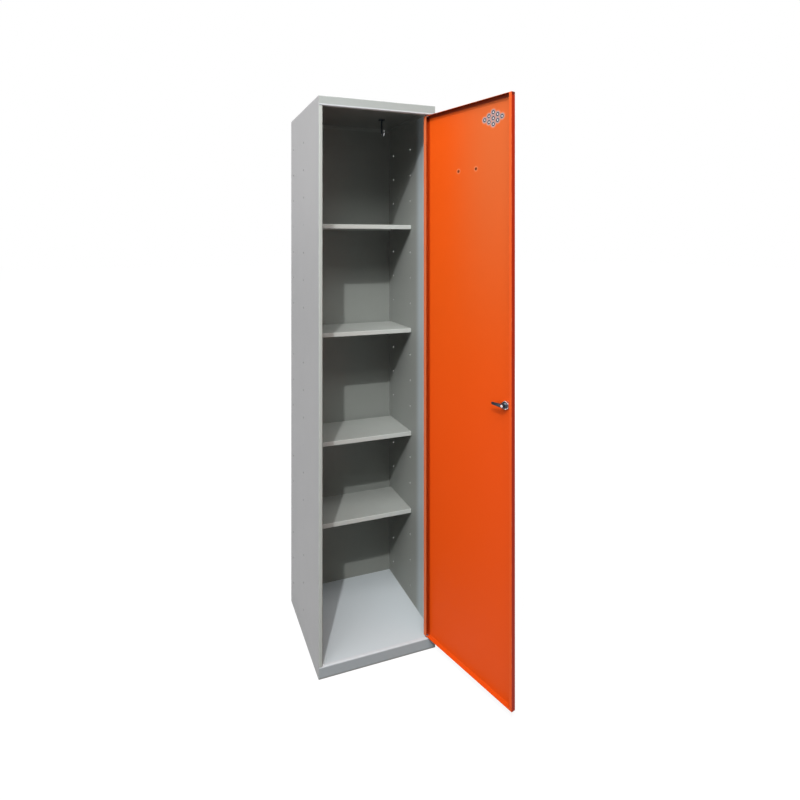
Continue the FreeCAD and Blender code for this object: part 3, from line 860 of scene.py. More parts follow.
class Shape:
    """A piece in the making, shaped with mesh operators."""

    RECTANGLE: ClassVar[int] = 4
    HEXAGON: ClassVar[int] = 6
    LOOP_POINTS: ClassVar[int] = 48
    MERGE: ClassVar[float] = 0.001 * MM

    def __init__(self) -> None:
        """Starts with nothing."""
        self.mesh = bmesh.new()

    def mend(self) -> "Shape":
        """Merges doubles and turns every face outwards.

        Returns:
            This shape.
        """
        bmesh.ops.remove_doubles(self.mesh, verts=self.mesh.verts, dist=self.MERGE)
        bmesh.ops.dissolve_degenerate(self.mesh, edges=self.mesh.edges, dist=self.MERGE)
        bmesh.ops.recalc_face_normals(self.mesh, faces=self.mesh.faces)
        return self

    def turned(
        self, outline: Sequence[Pair], hollow: bool = False, steps: int = 48
    ) -> "Shape":
        """Turns an outline about Z, as on a lathe.

        Args:
            outline: Points of radius and height.
            hollow: Whether the outline closes on itself round a bore.
            steps: How many steps make the full turn.

        Returns:
            This shape.
        """
        points = [self.mesh.verts.new((radius, 0.0, height)) for radius, height in outline]
        ends = points[1:] + points[:1] if hollow else points[1:]
        edges = [self.mesh.edges.new(pair) for pair in zip(points, ends)]
        bmesh.ops.spin(
            self.mesh,
            geom=points + edges,
            cent=(0.0, 0.0, 0.0),
            axis=(0.0, 0.0, 1.0),
            dvec=(0.0, 0.0, 0.0),
            angle=math.tau,
            steps=steps,
            use_merge=True,
            use_duplicate=False,
        )
        return self.mend()

    def block(self, low: Sequence[float], high: Sequence[float]) -> "Shape":
        """Adds a block between two corners.

        Args:
            low: The corner with the lowest coordinates.
            high: The corner with the highest.

        Returns:
            This shape.
        """
        size = Vector(high) - Vector(low)
        middle = (Vector(high) + Vector(low)) / 2
        matrix = Matrix.Translation(middle) @ Matrix.Diagonal((*size, 1.0))
        bmesh.ops.create_cube(self.mesh, size=1.0, matrix=matrix)
        return self

    def loop(
        self, corners: int, width: float, height: float, level: float
    ) -> list[bmesh.types.BMEdge]:
        """Adds a closed loop with a steady number of points.

        Args:
            corners: RECTANGLE, HEXAGON, or LOOP_POINTS for a circle.
            width: The loop's size along X: between a rectangle's sides, else across its points.
            height: The same along Y.
            level: The loop's height.

        Returns:
            The loop's edges.
        """
        square = corners == self.RECTANGLE
        stretch = math.sqrt(2.0) if square else 1.0
        turned = Matrix.Rotation(math.pi / 4 if square else 0.0, 4, "Z")
        sizes = Matrix.Diagonal((width / 2 * stretch, height / 2 * stretch, 1.0, 1.0))
        matrix = Matrix.Translation((0.0, 0.0, level)) @ sizes @ turned
        made = bmesh.ops.create_circle(
            self.mesh, cap_ends=False, segments=corners, radius=1.0, matrix=matrix
        )
        edges = list({edge for vert in made["verts"] for edge in vert.link_edges})
        cuts = self.LOOP_POINTS // corners - 1
        if cuts:
            split = bmesh.ops.subdivide_edges(self.mesh, edges=edges, cuts=cuts)
            edges = [item for item in split["geom"] if isinstance(item, bmesh.types.BMEdge)]
        return edges

    def plate(
        self, outer: list[bmesh.types.BMEdge], inner: list[bmesh.types.BMEdge], depth: float
    ) -> "Shape":
        """Fills between two loops and gives the plate its thickness along Z.

        Args:
            outer: The loop round the plate.
            inner: The loop round its hole.
            depth: How far the other side lies up Z, or down if negative.

        Returns:
            This shape.
        """
        bridged = bmesh.ops.bridge_loops(self.mesh, edges=outer + inner)
        raised = bmesh.ops.extrude_face_region(
            self.mesh, geom=bridged["faces"], use_keep_orig=True
        )
        verts = [item for item in raised["geom"] if isinstance(item, bmesh.types.BMVert)]
        bmesh.ops.translate(self.mesh, verts=verts, vec=(0.0, 0.0, depth))
        return self.mend()

    def soften(self, width: float, segments: int = 2, angle: float = 35.0) -> "Shape":
        """Rounds every edge sharper than an angle.

        Args:
            width: How far the rounding reaches from the edge.
            segments: How many strips make the rounding.
            angle: The least angle between two faces, in degrees.

        Returns:
            This shape.
        """
        limit = math.radians(angle)
        sharp = [
            edge for edge in self.mesh.edges
            if edge.is_manifold and edge.calc_face_angle() > limit
        ]
        bmesh.ops.bevel(
            self.mesh,
            geom=sharp,
            offset=width,
            offset_type="OFFSET",
            affect="EDGES",
            segments=segments,
            profile=0.5,
            material=-1,
            clamp_overlap=True,
        )
        return self

    def moved(self, matrix: Matrix) -> "Shape":
        """Moves everything made so far."""
        bmesh.ops.transform(self.mesh, matrix=matrix, verts=self.mesh.verts)
        return self

    def join(self, other: "Shape") -> "Shape":
        """Takes in another shape.

        Args:
            other: The shape that is taken in and used up.

        Returns:
            This shape.
        """
        spare = bpy.data.meshes.new("spare")
        other.mesh.to_mesh(spare)
        other.mesh.free()
        self.mesh.from_mesh(spare)
        bpy.data.meshes.remove(spare)
        return self

    def piece(
        self,
        name: str,
        material: bpy.types.Material,
        slot: Slot,
        body: Body,
        stands_for: Sequence[str],
        crease: float = 32.0,
    ) -> bpy.types.Object:
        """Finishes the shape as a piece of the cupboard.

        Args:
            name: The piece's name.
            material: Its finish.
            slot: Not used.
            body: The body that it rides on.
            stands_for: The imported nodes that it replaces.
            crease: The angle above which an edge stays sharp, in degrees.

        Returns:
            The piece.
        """
        data = bpy.data.meshes.new(name)
        self.mesh.to_mesh(data)
        self.mesh.free()
        data.shade_smooth()
        data.set_sharp_from_angle(angle=math.radians(crease))
        data.materials.append(material)
        made = bpy.data.objects.new(name, data)
        bpy.context.scene.collection.objects.link(made)
        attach(made, body.value)
        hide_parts(*stands_for)
        log.info("%s: %d faces, rides on %s", name, len(data.polygons), body.value)
        return made


def dress(node: str, material: bpy.types.Material) -> None:
    """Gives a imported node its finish.

    Args:
        node: The node's name.
        material: Its finish.
    """
    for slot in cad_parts[node].material_slots:
        slot.material = material
    log.info("%s: wears %s", node, material.name)


# ---------------------------------------------------------------- carcass and shelves


# Painted shade: faces that look down are darker.
UNDERSIDE_SHADE = FaceTone(Run.UPRIGHT, -1.0, (0.30, 0.315, 0.295, 1.0))


@dataclass
class Carcass:
    """The sides, back, roof and floor, and the tones of their faces, most of them painted light and
    shade.
    """

    height: float = 1800.0 * MM
    half: float = 200.0 * MM
    sheet: float = 0.8 * MM
    front: float = -190.0 * MM
    edge: float = 0.1 * MM
    rail_bend: float = 1772.5 * MM
    plinth_bend: float = 37.0 * MM
    bend_reach: float = 4.2 * MM
    bend_core: float = 0.4
    weld_inset: float = 7.5 * MM
    weld_pitch: float = 90.0 * MM
    plinth_weld: float = 22.0 * MM
    doorway_light_part: Pair = (-40.0 * MM, -85.0 * MM)
    lower_part: Pair = (1620.0 * MM, 1050.0 * MM)
    foot_part: Pair = (7.0 * MM, 4.0 * MM)
    coat: PowderCoat = CARCASS_GREY
    # Painted shade: a darker copy of the coat for the back panel.
    back_shade_colour: Colour = (0.375, 0.398, 0.370, 1.0)
    # Painted highlight along the front bends.
    bend_highlight_colour: Colour = (0.80, 0.83, 0.86, 1.0)
    # Painted light on the faces that look to the front.
    stile_light_colour: Colour = (0.58, 0.61, 0.57, 1.0)
    # Painted shade round the shelf holes.
    hole_shade_colour: Colour = (0.10, 0.10, 0.11, 1.0)
    # Painted light: a lighter, bluish strip inside the right side by the doorway.
    doorway_light_colour: Colour = (0.62, 0.70, 0.73, 1.0)
    # Painted light: a lighter, more neutral tone on the left side's outside.
    outer_lit_colour: Colour = (0.475, 0.472, 0.478, 1.0)
    # Painted shade: the left side's outside darker towards the bottom.
    lower_shading_colour: Colour = (0.385, 0.385, 0.390, 1.0)
    # Painted light: a lighter tone on the rail.
    rail_light_colour: Colour = (0.47, 0.50, 0.48, 1.0)
    # Painted light: a lighter tone on the faces of the floor panel that look up.
    floor_colour: Colour = (0.73, 0.79, 0.82, 1.0)
    # Painted light: a lighter, bluish tone on the plinth.
    plinth_light_colour: Colour = (0.48, 0.52, 0.54, 1.0)
    # Painted shade: a dark line along the plinth's foot.
    foot_shade_colour: Colour = (0.33, 0.34, 0.33, 1.0)

    def welds(self) -> SpotWelds:
        """The welds between the sides and the back."""
        rear = self.half - self.weld_inset
        return SpotWelds(Run.UPRIGHT, rear, Run.DEEP, pitch=self.weld_pitch)

    def side_marks(self) -> tuple[Mark, ...]:
        """Painted light on a side's front, a painted highlight and painted shade round its shelf
        holes, and its welds.

        Returns:
            The marks, in the order in which they are laid on.
        """
        top = self.height - self.weld_inset
        return (
            FaceTone(Run.DEEP, -1.0, self.stile_light_colour),
            PegHoleRims(),
            # Painted shade round the shelf holes.
            PegHoleRims(
                inner=3.3 * MM, outer=4.8 * MM, colour=self.hole_shade_colour, strength=0.7
            ),
            SpotWelds(Run.DEEP, top, Run.ACROSS),
            SpotWelds(Run.DEEP, self.plinth_weld, Run.ACROSS),
            self.welds(),
        )

    def left_marks(self) -> tuple[Mark, ...]:
        """The left side's marks, with painted light and shade on its outside: a lighter, more
        neutral face, darker towards the bottom.

        Returns:
            The marks, in the order in which they are laid on.
        """
        near, far = MID_SHEET
        inside = self.sheet - self.half
        lower = (
            Ramp(Run.UPRIGHT, *self.lower_part),
            Ramp(Run.ACROSS, inside - near, inside - far),
        )
        return (
            FaceTone(Run.ACROSS, -1.0, self.outer_lit_colour),
            Zone(lower, self.lower_shading_colour),
            *self.side_marks(),
        )

    def right_marks(self) -> tuple[Mark, ...]:
        """The right side's marks, with a painted strip of light on the inside by the doorway.

        Returns:
            The marks, in the order in which they are laid on.
        """
        near, far = MID_SHEET
        inside = self.half - self.sheet
        strip = (
            Ramp(Run.DEEP, *self.doorway_light_part),
            Ramp(Run.ACROSS, inside + far, inside + near),
        )
        return (Zone(strip, self.doorway_light_colour), *self.side_marks())

    def at_front(self) -> Ramp:
        """What lies at the very front of the carcass."""
        return Ramp(Run.DEEP, self.front, self.front - self.edge)

    def bend(self, level: float) -> Zone:
        """A painted highlight along a front bend at a level, where the coat catches the light.

        Args:
            level: The bend's height.

        Returns:
            The mark.
        """
        reach = self.bend_reach
        core = self.bend_core * reach
        ramps = (
            self.at_front(),
            Ramp(Run.UPRIGHT, level - reach, level - core),
            Ramp(Run.UPRIGHT, level + reach, level + core),
        )
        return Zone(ramps, self.bend_highlight_colour, strength=0.9)

    def roof_marks(self) -> tuple[Mark, ...]:
        """Painted shade on the underside, a painted lighter tone on the rail, and a painted
        highlight along its bend.
        """
        rail = Zone((self.at_front(),), self.rail_light_colour)
        return (UNDERSIDE_SHADE, rail, self.bend(self.rail_bend))

    def floor_marks(self) -> tuple[Mark, ...]:
        """Painted light on the top and the plinth, a painted highlight along its bend, and painted
        shade along its foot.

        Returns:
            The marks, in the order in which they are laid on.
        """
        foot = (self.at_front(), Ramp(Run.UPRIGHT, *self.foot_part))
        return (
            FaceTone(Run.UPRIGHT, 1.0, self.floor_colour),
            Zone((self.at_front(),), self.plinth_light_colour),
            self.bend(self.plinth_bend),
            Zone(foot, self.foot_shade_colour),
        )

    def build(self) -> None:
        """Dresses every sheet."""
        # Painted shade: the back panel wears a darker copy of the coat.
        back = replace(self.coat, colour=self.back_shade_colour)
        dressed = {
            "left_side_panel": (self.coat, self.left_marks()),
            "right_side_panel": (self.coat, self.right_marks()),
            "back_panel": (back, (self.welds(),)),
            "roof_panel": (self.coat, self.roof_marks()),
            "floor_panel": (self.coat, self.floor_marks()),
        }
        for node, (coat, marks) in dressed.items():
            dress(node, coat.material(f"paint_{node}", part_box(node), marks))


@dataclass
class Shelves:
    """The four shelves and the pegs that carry them."""

    rows: tuple[int, ...] = (3, 6, 10, 14)
    first_row: float = 90.0 * MM
    pitch: float = 94.0 * MM
    columns: Pair = (0.0, 158.0 * MM)
    web: float = 199.2 * MM
    outer_face: float = 200.0 * MM
    peg_length: float = 12.0 * MM
    peg_size: float = 8.0 * MM
    shank_radius: float = 2.5 * MM
    rounding: float = 0.8 * MM
    coat: PowderCoat = CARCASS_GREY
    # Painted shade on the undersides and painted light on the faces that look to the front.
    marks: tuple[Mark, ...] = (UNDERSIDE_SHADE, FaceTone(Run.DEEP, -1.0, (0.74, 0.77, 0.73, 1.0)))

    def peg(self) -> Shape:
        """A square peg that points along +X from the web, with a shank behind it.

        Returns:
            The peg.
        """
        half = self.peg_size / 2
        shape = Shape().block((-self.peg_length, -half, -half), (0.0, half, half))
        shape.soften(self.rounding, segments=3)
        through = self.outer_face - self.web
        outline = [
            (0.0, -through), (self.shank_radius, -through),
            (self.shank_radius, through), (0.0, through),
        ]
        shank = Shape().turned(outline, steps=24).soften(0.3 * MM)
        return shape.join(shank.moved(Matrix.Rotation(math.pi / 2, 4, "Y")))

    def build(self, finishes: Finishes) -> None:
        """Dresses the shelves and makes the pegs.

        Args:
            finishes: The finishes of the small pieces.
        """
        for number in range(1, len(self.rows) + 1):
            node = f"shelf_{number}"
            dress(node, self.coat.material(f"paint_{node}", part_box(node), self.marks))
        pegs = Shape()
        for row in self.rows:
            for column in self.columns:
                for side in Side:
                    height = self.first_row + row * self.pitch
                    place = Vector((side.value * self.web, column, height))
                    turned = Matrix.Rotation(0.0 if side is Side.RIGHT else math.pi, 4, "Z")
                    pegs.join(self.peg().moved(Matrix.Translation(place) @ turned))
        pegs.piece("pegs", finishes.zinc, Slot.ZINC_PLATE, Body.CUPBOARD, ("shelf_pegs",))


@dataclass
class CeilingHook:
    """A wire hook with a ball tip, on a round plate under the roof."""

    x: float = 105.0 * MM
    y: float = 45.0 * MM
    roof: float = 1799.2 * MM
    plate_radius: float = 13.0 * MM
    plate_thick: float = 2.0 * MM
    wire_radius: float = 2.5 * MM
    stem: float = 50.0 * MM
    bend_radius: float = 12.0 * MM
    tip: float = 8.0 * MM
    ball_radius: float = 4.0 * MM
    ring: int = 24
    turn_steps: int = 24

    def wire(self) -> Shape:
        """The stem, the bend and the tip in one run.

        Returns:
            The wire.
        """
        shape = Shape()
        start = self.roof - self.plate_thick / 2
        turn = self.roof - self.plate_thick - self.stem
        bmesh.ops.create_circle(
            shape.mesh,
            cap_ends=True,
            segments=self.ring,
            radius=self.wire_radius,
            matrix=Matrix.Translation((self.x, self.y, start)),
        )
        end = self.draw(shape, list(shape.mesh.faces), Vector((0.0, 0.0, turn - start)))
        geometry = {item for face in end for item in (face, *face.edges, *face.verts)}
        spun = bmesh.ops.spin(
            shape.mesh,
            geom=list(geometry),
            cent=(self.x, self.y - self.bend_radius, turn),
            axis=(1.0, 0.0, 0.0),
            dvec=(0.0, 0.0, 0.0),
            angle=-math.pi,
            steps=self.turn_steps,
            use_merge=False,
            use_duplicate=False,
        )
        last = [item for item in spun["geom_last"] if isinstance(item, bmesh.types.BMFace)]
        self.draw(shape, last, Vector((0.0, 0.0, self.tip)))
        return shape.mend()

    def draw(
        self, shape: Shape, faces: list[bmesh.types.BMFace], way: Vector
    ) -> list[bmesh.types.BMFace]:
        """Draws faces out along a straight way.

        Args:
            shape: The shape that they belong to.
            faces: The faces at the wire's end.
            way: How far and which way they go.

        Returns:
            The faces at the new end.
        """
        drawn = bmesh.ops.extrude_face_region(shape.mesh, geom=faces)
        verts = [item for item in drawn["geom"] if isinstance(item, bmesh.types.BMVert)]
        bmesh.ops.translate(shape.mesh, verts=verts, vec=way)
        return [item for item in drawn["geom"] if isinstance(item, bmesh.types.BMFace)]

    def build(self, finishes: Finishes) -> None:
        """Makes the hook with its ball and its plate, bright chrome below the ball and a dark
        finish above it, a painted dark reflection.

        Args:
            finishes: The finishes of the small pieces.
        """
        hook = self.wire()
        tip = Vector((
            self.x,
            self.y - 2 * self.bend_radius,
            self.roof - self.plate_thick - self.stem + self.tip,
        ))
        ball = Shape()
        bmesh.ops.create_uvsphere(
            ball.mesh, u_segments=24, v_segments=16, radius=self.ball_radius,
            matrix=Matrix.Translation(tip),
        )
        hook.join(ball)
        low = self.roof - self.plate_thick
        neck = self.wire_radius * 1.7
        plate = Shape().turned([
            (0.0, self.roof),
            (self.plate_radius, self.roof),
            (self.plate_radius, low + 0.9 * MM),
            (self.plate_radius - 1.5 * MM, low + 0.2 * MM),
            (neck, low),
            (neck - 0.6 * MM, low - 1.2 * MM),
            (0.0, low - 1.2 * MM),
        ]).soften(0.3 * MM)
        hook.join(plate.moved(Matrix.Translation((self.x, self.y, 0.0))))
        made = hook.piece(
            "roof_hook", finishes.chrome, Slot.BRIGHT_CHROME, Body.CUPBOARD, ("ceiling_hook",)
        )
        # Painted dark reflection: the stem above the ball wears the dark finish instead of chrome.
        made.data.materials.append(finishes.dark_zinc_and_reflection)
        for face in made.data.polygons:
            if face.center.z > tip.z + self.ball_radius:
                face.material_index = 1


# ---------------------------------------------------------------- door


@dataclass(frozen=True)
class Ring:
    """The radii, the colour and the strength of one ring round a hole or a rivet."""

    inner: float
    outer: float
    colour: Colour
    strength: float = 1.0


@dataclass
class Door:
    """The door pan, and the tones of its coat, painted light and shade among them."""

    low: tuple[float, float, float] = (-360.0 * MM, -9.0 * MM, 40.5 * MM)
    high: tuple[float, float, float] = (10.5 * MM, 6.0 * MM, 1767.0 * MM)
    vent_from_edge: float = 80.0 * MM
    vent_from_top: float = 58.0 * MM
    vent_step: Pair = (16.5 * MM, 8.6 * MM)
    rivet_x: Pair = (-211.75 * MM, -137.75 * MM)
    rivet_z: float = 1569.0 * MM
    middle: float = -8.6 * MM
    lip: float = 4.5 * MM
    edge: float = 0.1 * MM
    top_fold: Pair = (12.5 * MM, 5.5 * MM)
    hinge_fold: Pair = (-8.0 * MM, -1.0 * MM)
    hinge_lip: Pair = (-4.0 * MM, -3.0 * MM)
    free_lip: Pair = (30.0 * MM, 20.0 * MM)
    free_edge: Pair = (0.5 * MM, 0.1 * MM)
    lower_part: Pair = (1250.0 * MM, 650.0 * MM)
    # Painted sheen: paler high up towards the free edge.
    sheen_up: Pair = (900.0 * MM, 1700.0 * MM)
    sheen_across: Pair = (-50.0 * MM, -280.0 * MM)
    # Painted highlight in the two outer rings and painted shade in the dark inner ring round each
    # air hole.
    vent_rings: tuple[Ring, ...] = (
        Ring(9.0 * MM, 15.0 * MM, (0.86, 0.28, 0.13, 1.0), 0.6),
        Ring(7.5 * MM, 10.8 * MM, (0.40, 0.36, 0.375, 1.0), 0.9),
        Ring(5.2 * MM, 6.2 * MM, (0.050, 0.055, 0.080, 1.0)),
    )
    # A painted highlight in the outer ring and painted shade in the dark inner ring round each
    # rivet.
    rivet_rings: tuple[Ring, ...] = (
        Ring(6.0 * MM, 11.0 * MM, (0.86, 0.28, 0.13, 1.0), 0.55),
        Ring(4.0 * MM, 5.0 * MM, (0.12, 0.020, 0.006, 1.0), 0.9),
    )
    # Painted light: the lower door is a brighter red.
    lower_shading_colour: Colour = (0.97, 0.098, 0.006, 1.0)
    # Painted sheen: paler high up towards the free edge.
    sheen_colour: Colour = (0.76, 0.150, 0.036, 1.0)
    # Painted shade under the top fold and by the hinge-side fold; painted light on the hinge-side
    # lip, a painted highlight on the free lip, and painted shade on the free edge.
    top_fold_shade_colour: Colour = (0.22, 0.016, 0.002, 1.0)
    hinge_fold_shade_colour: Colour = (0.58, 0.042, 0.003, 1.0)
    hinge_lip_light_colour: Colour = (0.78, 0.21, 0.085, 1.0)
    free_lip_highlight_colour: Colour = (0.98, 0.125, 0.020, 1.0)
    free_edge_shade_colour: Colour = (0.68, 0.033, 0.001, 1.0)
    coat: PowderCoat = DOOR_ORANGE

    def vents(self) -> tuple[Pair, ...]:
        """The centres of the nine air holes.

        Returns:
            Each centre, across the door and up it.
        """
        middle_x = self.low[0] + self.vent_from_edge
        middle_z = self.high[2] - self.vent_from_top
        across, up = self.vent_step
        return tuple(
            (middle_x + (rise + fall) * across, middle_z + (rise - fall) * up)
            for rise in (-1, 0, 1)
            for fall in (-1, 0, 1)
        )

    def inside(self) -> Ramp:
        """What lies on the inner side of the skin's middle."""
        return Ramp(Run.DEEP, self.middle - self.edge, self.middle + self.edge)

    def folds(self) -> tuple[Mark, ...]:
        """Painted shade in the top and hinge-side folds, painted light on both lips, and painted
        shade on the free edge.

        Returns:
            The marks, in the order in which they are laid on.
        """
        edge = self.edge
        near, far = MID_SHEET
        left, _, _ = self.low
        right, _, top = self.high
        pocket = (
            self.inside(),
            Ramp(Run.DEEP, self.lip + edge, self.lip - edge),
            Ramp(Run.ACROSS, right - near, right - far),
            Ramp(Run.UPRIGHT, top - near, top - far),
        )
        on_lip = Ramp(Run.DEEP, self.lip - edge, self.lip + edge)
        under_top = Ramp(Run.UPRIGHT, *(top - way for way in self.top_fold))
        free_lip = Ramp(Run.ACROSS, *(left + way for way in self.free_lip))
        free_edge = Ramp(Run.ACROSS, *(left + way for way in self.free_edge))
        by_hinge = Ramp(Run.ACROSS, *self.hinge_fold)
        hinge_lip = Ramp(Run.ACROSS, *self.hinge_lip)
        return (
            Zone((on_lip, free_lip), self.free_lip_highlight_colour, strength=0.5),
            Zone((free_edge,), self.free_edge_shade_colour),
            Zone((*pocket, by_hinge), self.hinge_fold_shade_colour, strength=0.85),
            Zone((*pocket, under_top), self.top_fold_shade_colour, strength=0.9),
            Zone((on_lip, hinge_lip), self.hinge_lip_light_colour, strength=0.7),
        )

    def marks(self) -> tuple[Mark, ...]:
        """Painted light low down, a painted sheen high up by the free edge, painted light and shade
        along the folds, and rings of painted highlight and shade round the air holes and the
        rivets.

        Returns:
            The marks, in the order in which they are laid on.
        """
        vents = self.vents()
        rivets = tuple((x, self.rivet_z) for x in self.rivet_x)
        inside = self.inside()
        lower = (Ramp(Run.UPRIGHT, *self.lower_part),)
        sheen = (inside, Ramp(Run.UPRIGHT, *self.sheen_up), Ramp(Run.ACROSS, *self.sheen_across))
        rims = (
            RoundRims(centres, ring.inner, ring.outer, inside, ring.colour, ring.strength)
            for centres, rings in ((vents, self.vent_rings), (rivets, self.rivet_rings))
            for ring in rings
        )
        return (
            Zone(lower, self.lower_shading_colour),
            Zone(sheen, self.sheen_colour, strength=0.9),
            *self.folds(),
            *rims,
        )

    def build(self) -> None:
        """Dresses the pan."""
        box = (Vector(self.low), Vector(self.high))
        material = self.coat.material("paint_door_panel", box, self.marks(), DOOR_PLACE)
        dress("door_panel", material)


@dataclass
class Hinge:
    """The two pins that turn with the door, and the bushes that hold them."""

    pin_radius: float = 3.0 * MM
    head_radius: float = 4.5 * MM
    head_thick: float = 2.0 * MM
    reach: float = 8.0 * MM
    seat_top: float = 1766.2 * MM
    seat_bottom: float = 41.3 * MM
    bore: float = 3.05 * MM
    barrel_radius: float = 5.05 * MM
    collar_radius: float = 7.0 * MM
    rail: float = 1770.0 * MM
    collar_top: float = 1767.4 * MM
    floor: float = 38.0 * MM
    collar_bottom: float = 40.1 * MM
    barrel_length: float = 4.0 * MM
    edge: float = 0.35 * MM

    def place(self, level: float, flipped: bool) -> Matrix:
        """The axis at a level, upside down if flipped."""
        over = Matrix.Rotation(math.pi if flipped else 0.0, 4, "X")
        return Matrix.Translation((DOOR_PLACE.hinge_x, DOOR_PLACE.hinge_y, level)) @ over

    def pin(self) -> Shape:
        """A headed pin that points up from its seat at the origin.

        Returns:
            The pin.
        """
        return Shape().turned([
            (0.0, -self.head_thick),
            (self.head_radius, -self.head_thick),
            (self.head_radius, 0.0),
            (self.pin_radius, 0.0),
            (self.pin_radius, self.reach - 1.0 * MM),
            (self.pin_radius - 0.9 * MM, self.reach),
            (0.0, self.reach),
        ]).soften(self.edge)

    def bush(self, collar: float) -> Shape:
        """A collared bush whose barrel starts at the origin and points up.

        Args:
            collar: The collar's thickness, below the origin.

        Returns:
            The bush.
        """
        return Shape().turned([
            (self.bore, -collar),
            (self.collar_radius, -collar),
            (self.collar_radius, 0.0),
            (self.barrel_radius, 0.0),
            (self.barrel_radius, self.barrel_length),
            (self.bore, self.barrel_length),
        ], hollow=True).soften(self.edge)

    def build(self, finishes: Finishes) -> None:
        """Makes both pins and both bushes.

        Args:
            finishes: The finishes of the small pieces.
        """
        ends = (
            ("top", self.seat_top, self.rail, self.rail - self.collar_top, False),
            ("bottom", self.seat_bottom, self.floor, self.collar_bottom - self.floor, True),
        )
        for end, seat, face, collar, flipped in ends:
            for shape, level, name, material, slot, body in (
                (self.pin(), seat, "pin", finishes.zinc, Slot.ZINC_PLATE, Body.DOOR),
                (self.bush(collar), face, "bush", finishes.nylon, Slot.NYLON, Body.CUPBOARD),
            ):
                shape.moved(self.place(level, flipped))
                shape.piece(f"{name}_{end}", material, slot, body, (f"hinge_{name}_{end}",))


def through_door(x: float, height: float) -> Matrix:
    """The matrix that lays a piece's Z through the door, from outside inwards.

    Args:
        x: Where it stands across the closed door.
        height: Its height.

    Returns:
        The matrix; the piece's zero is at the hinge axis's depth.
    """
    lying = Matrix.Rotation(-math.pi / 2, 4, "X")
    return DOOR_PLACE.matrix() @ Matrix.Translation((x, 0.0, height)) @ lying


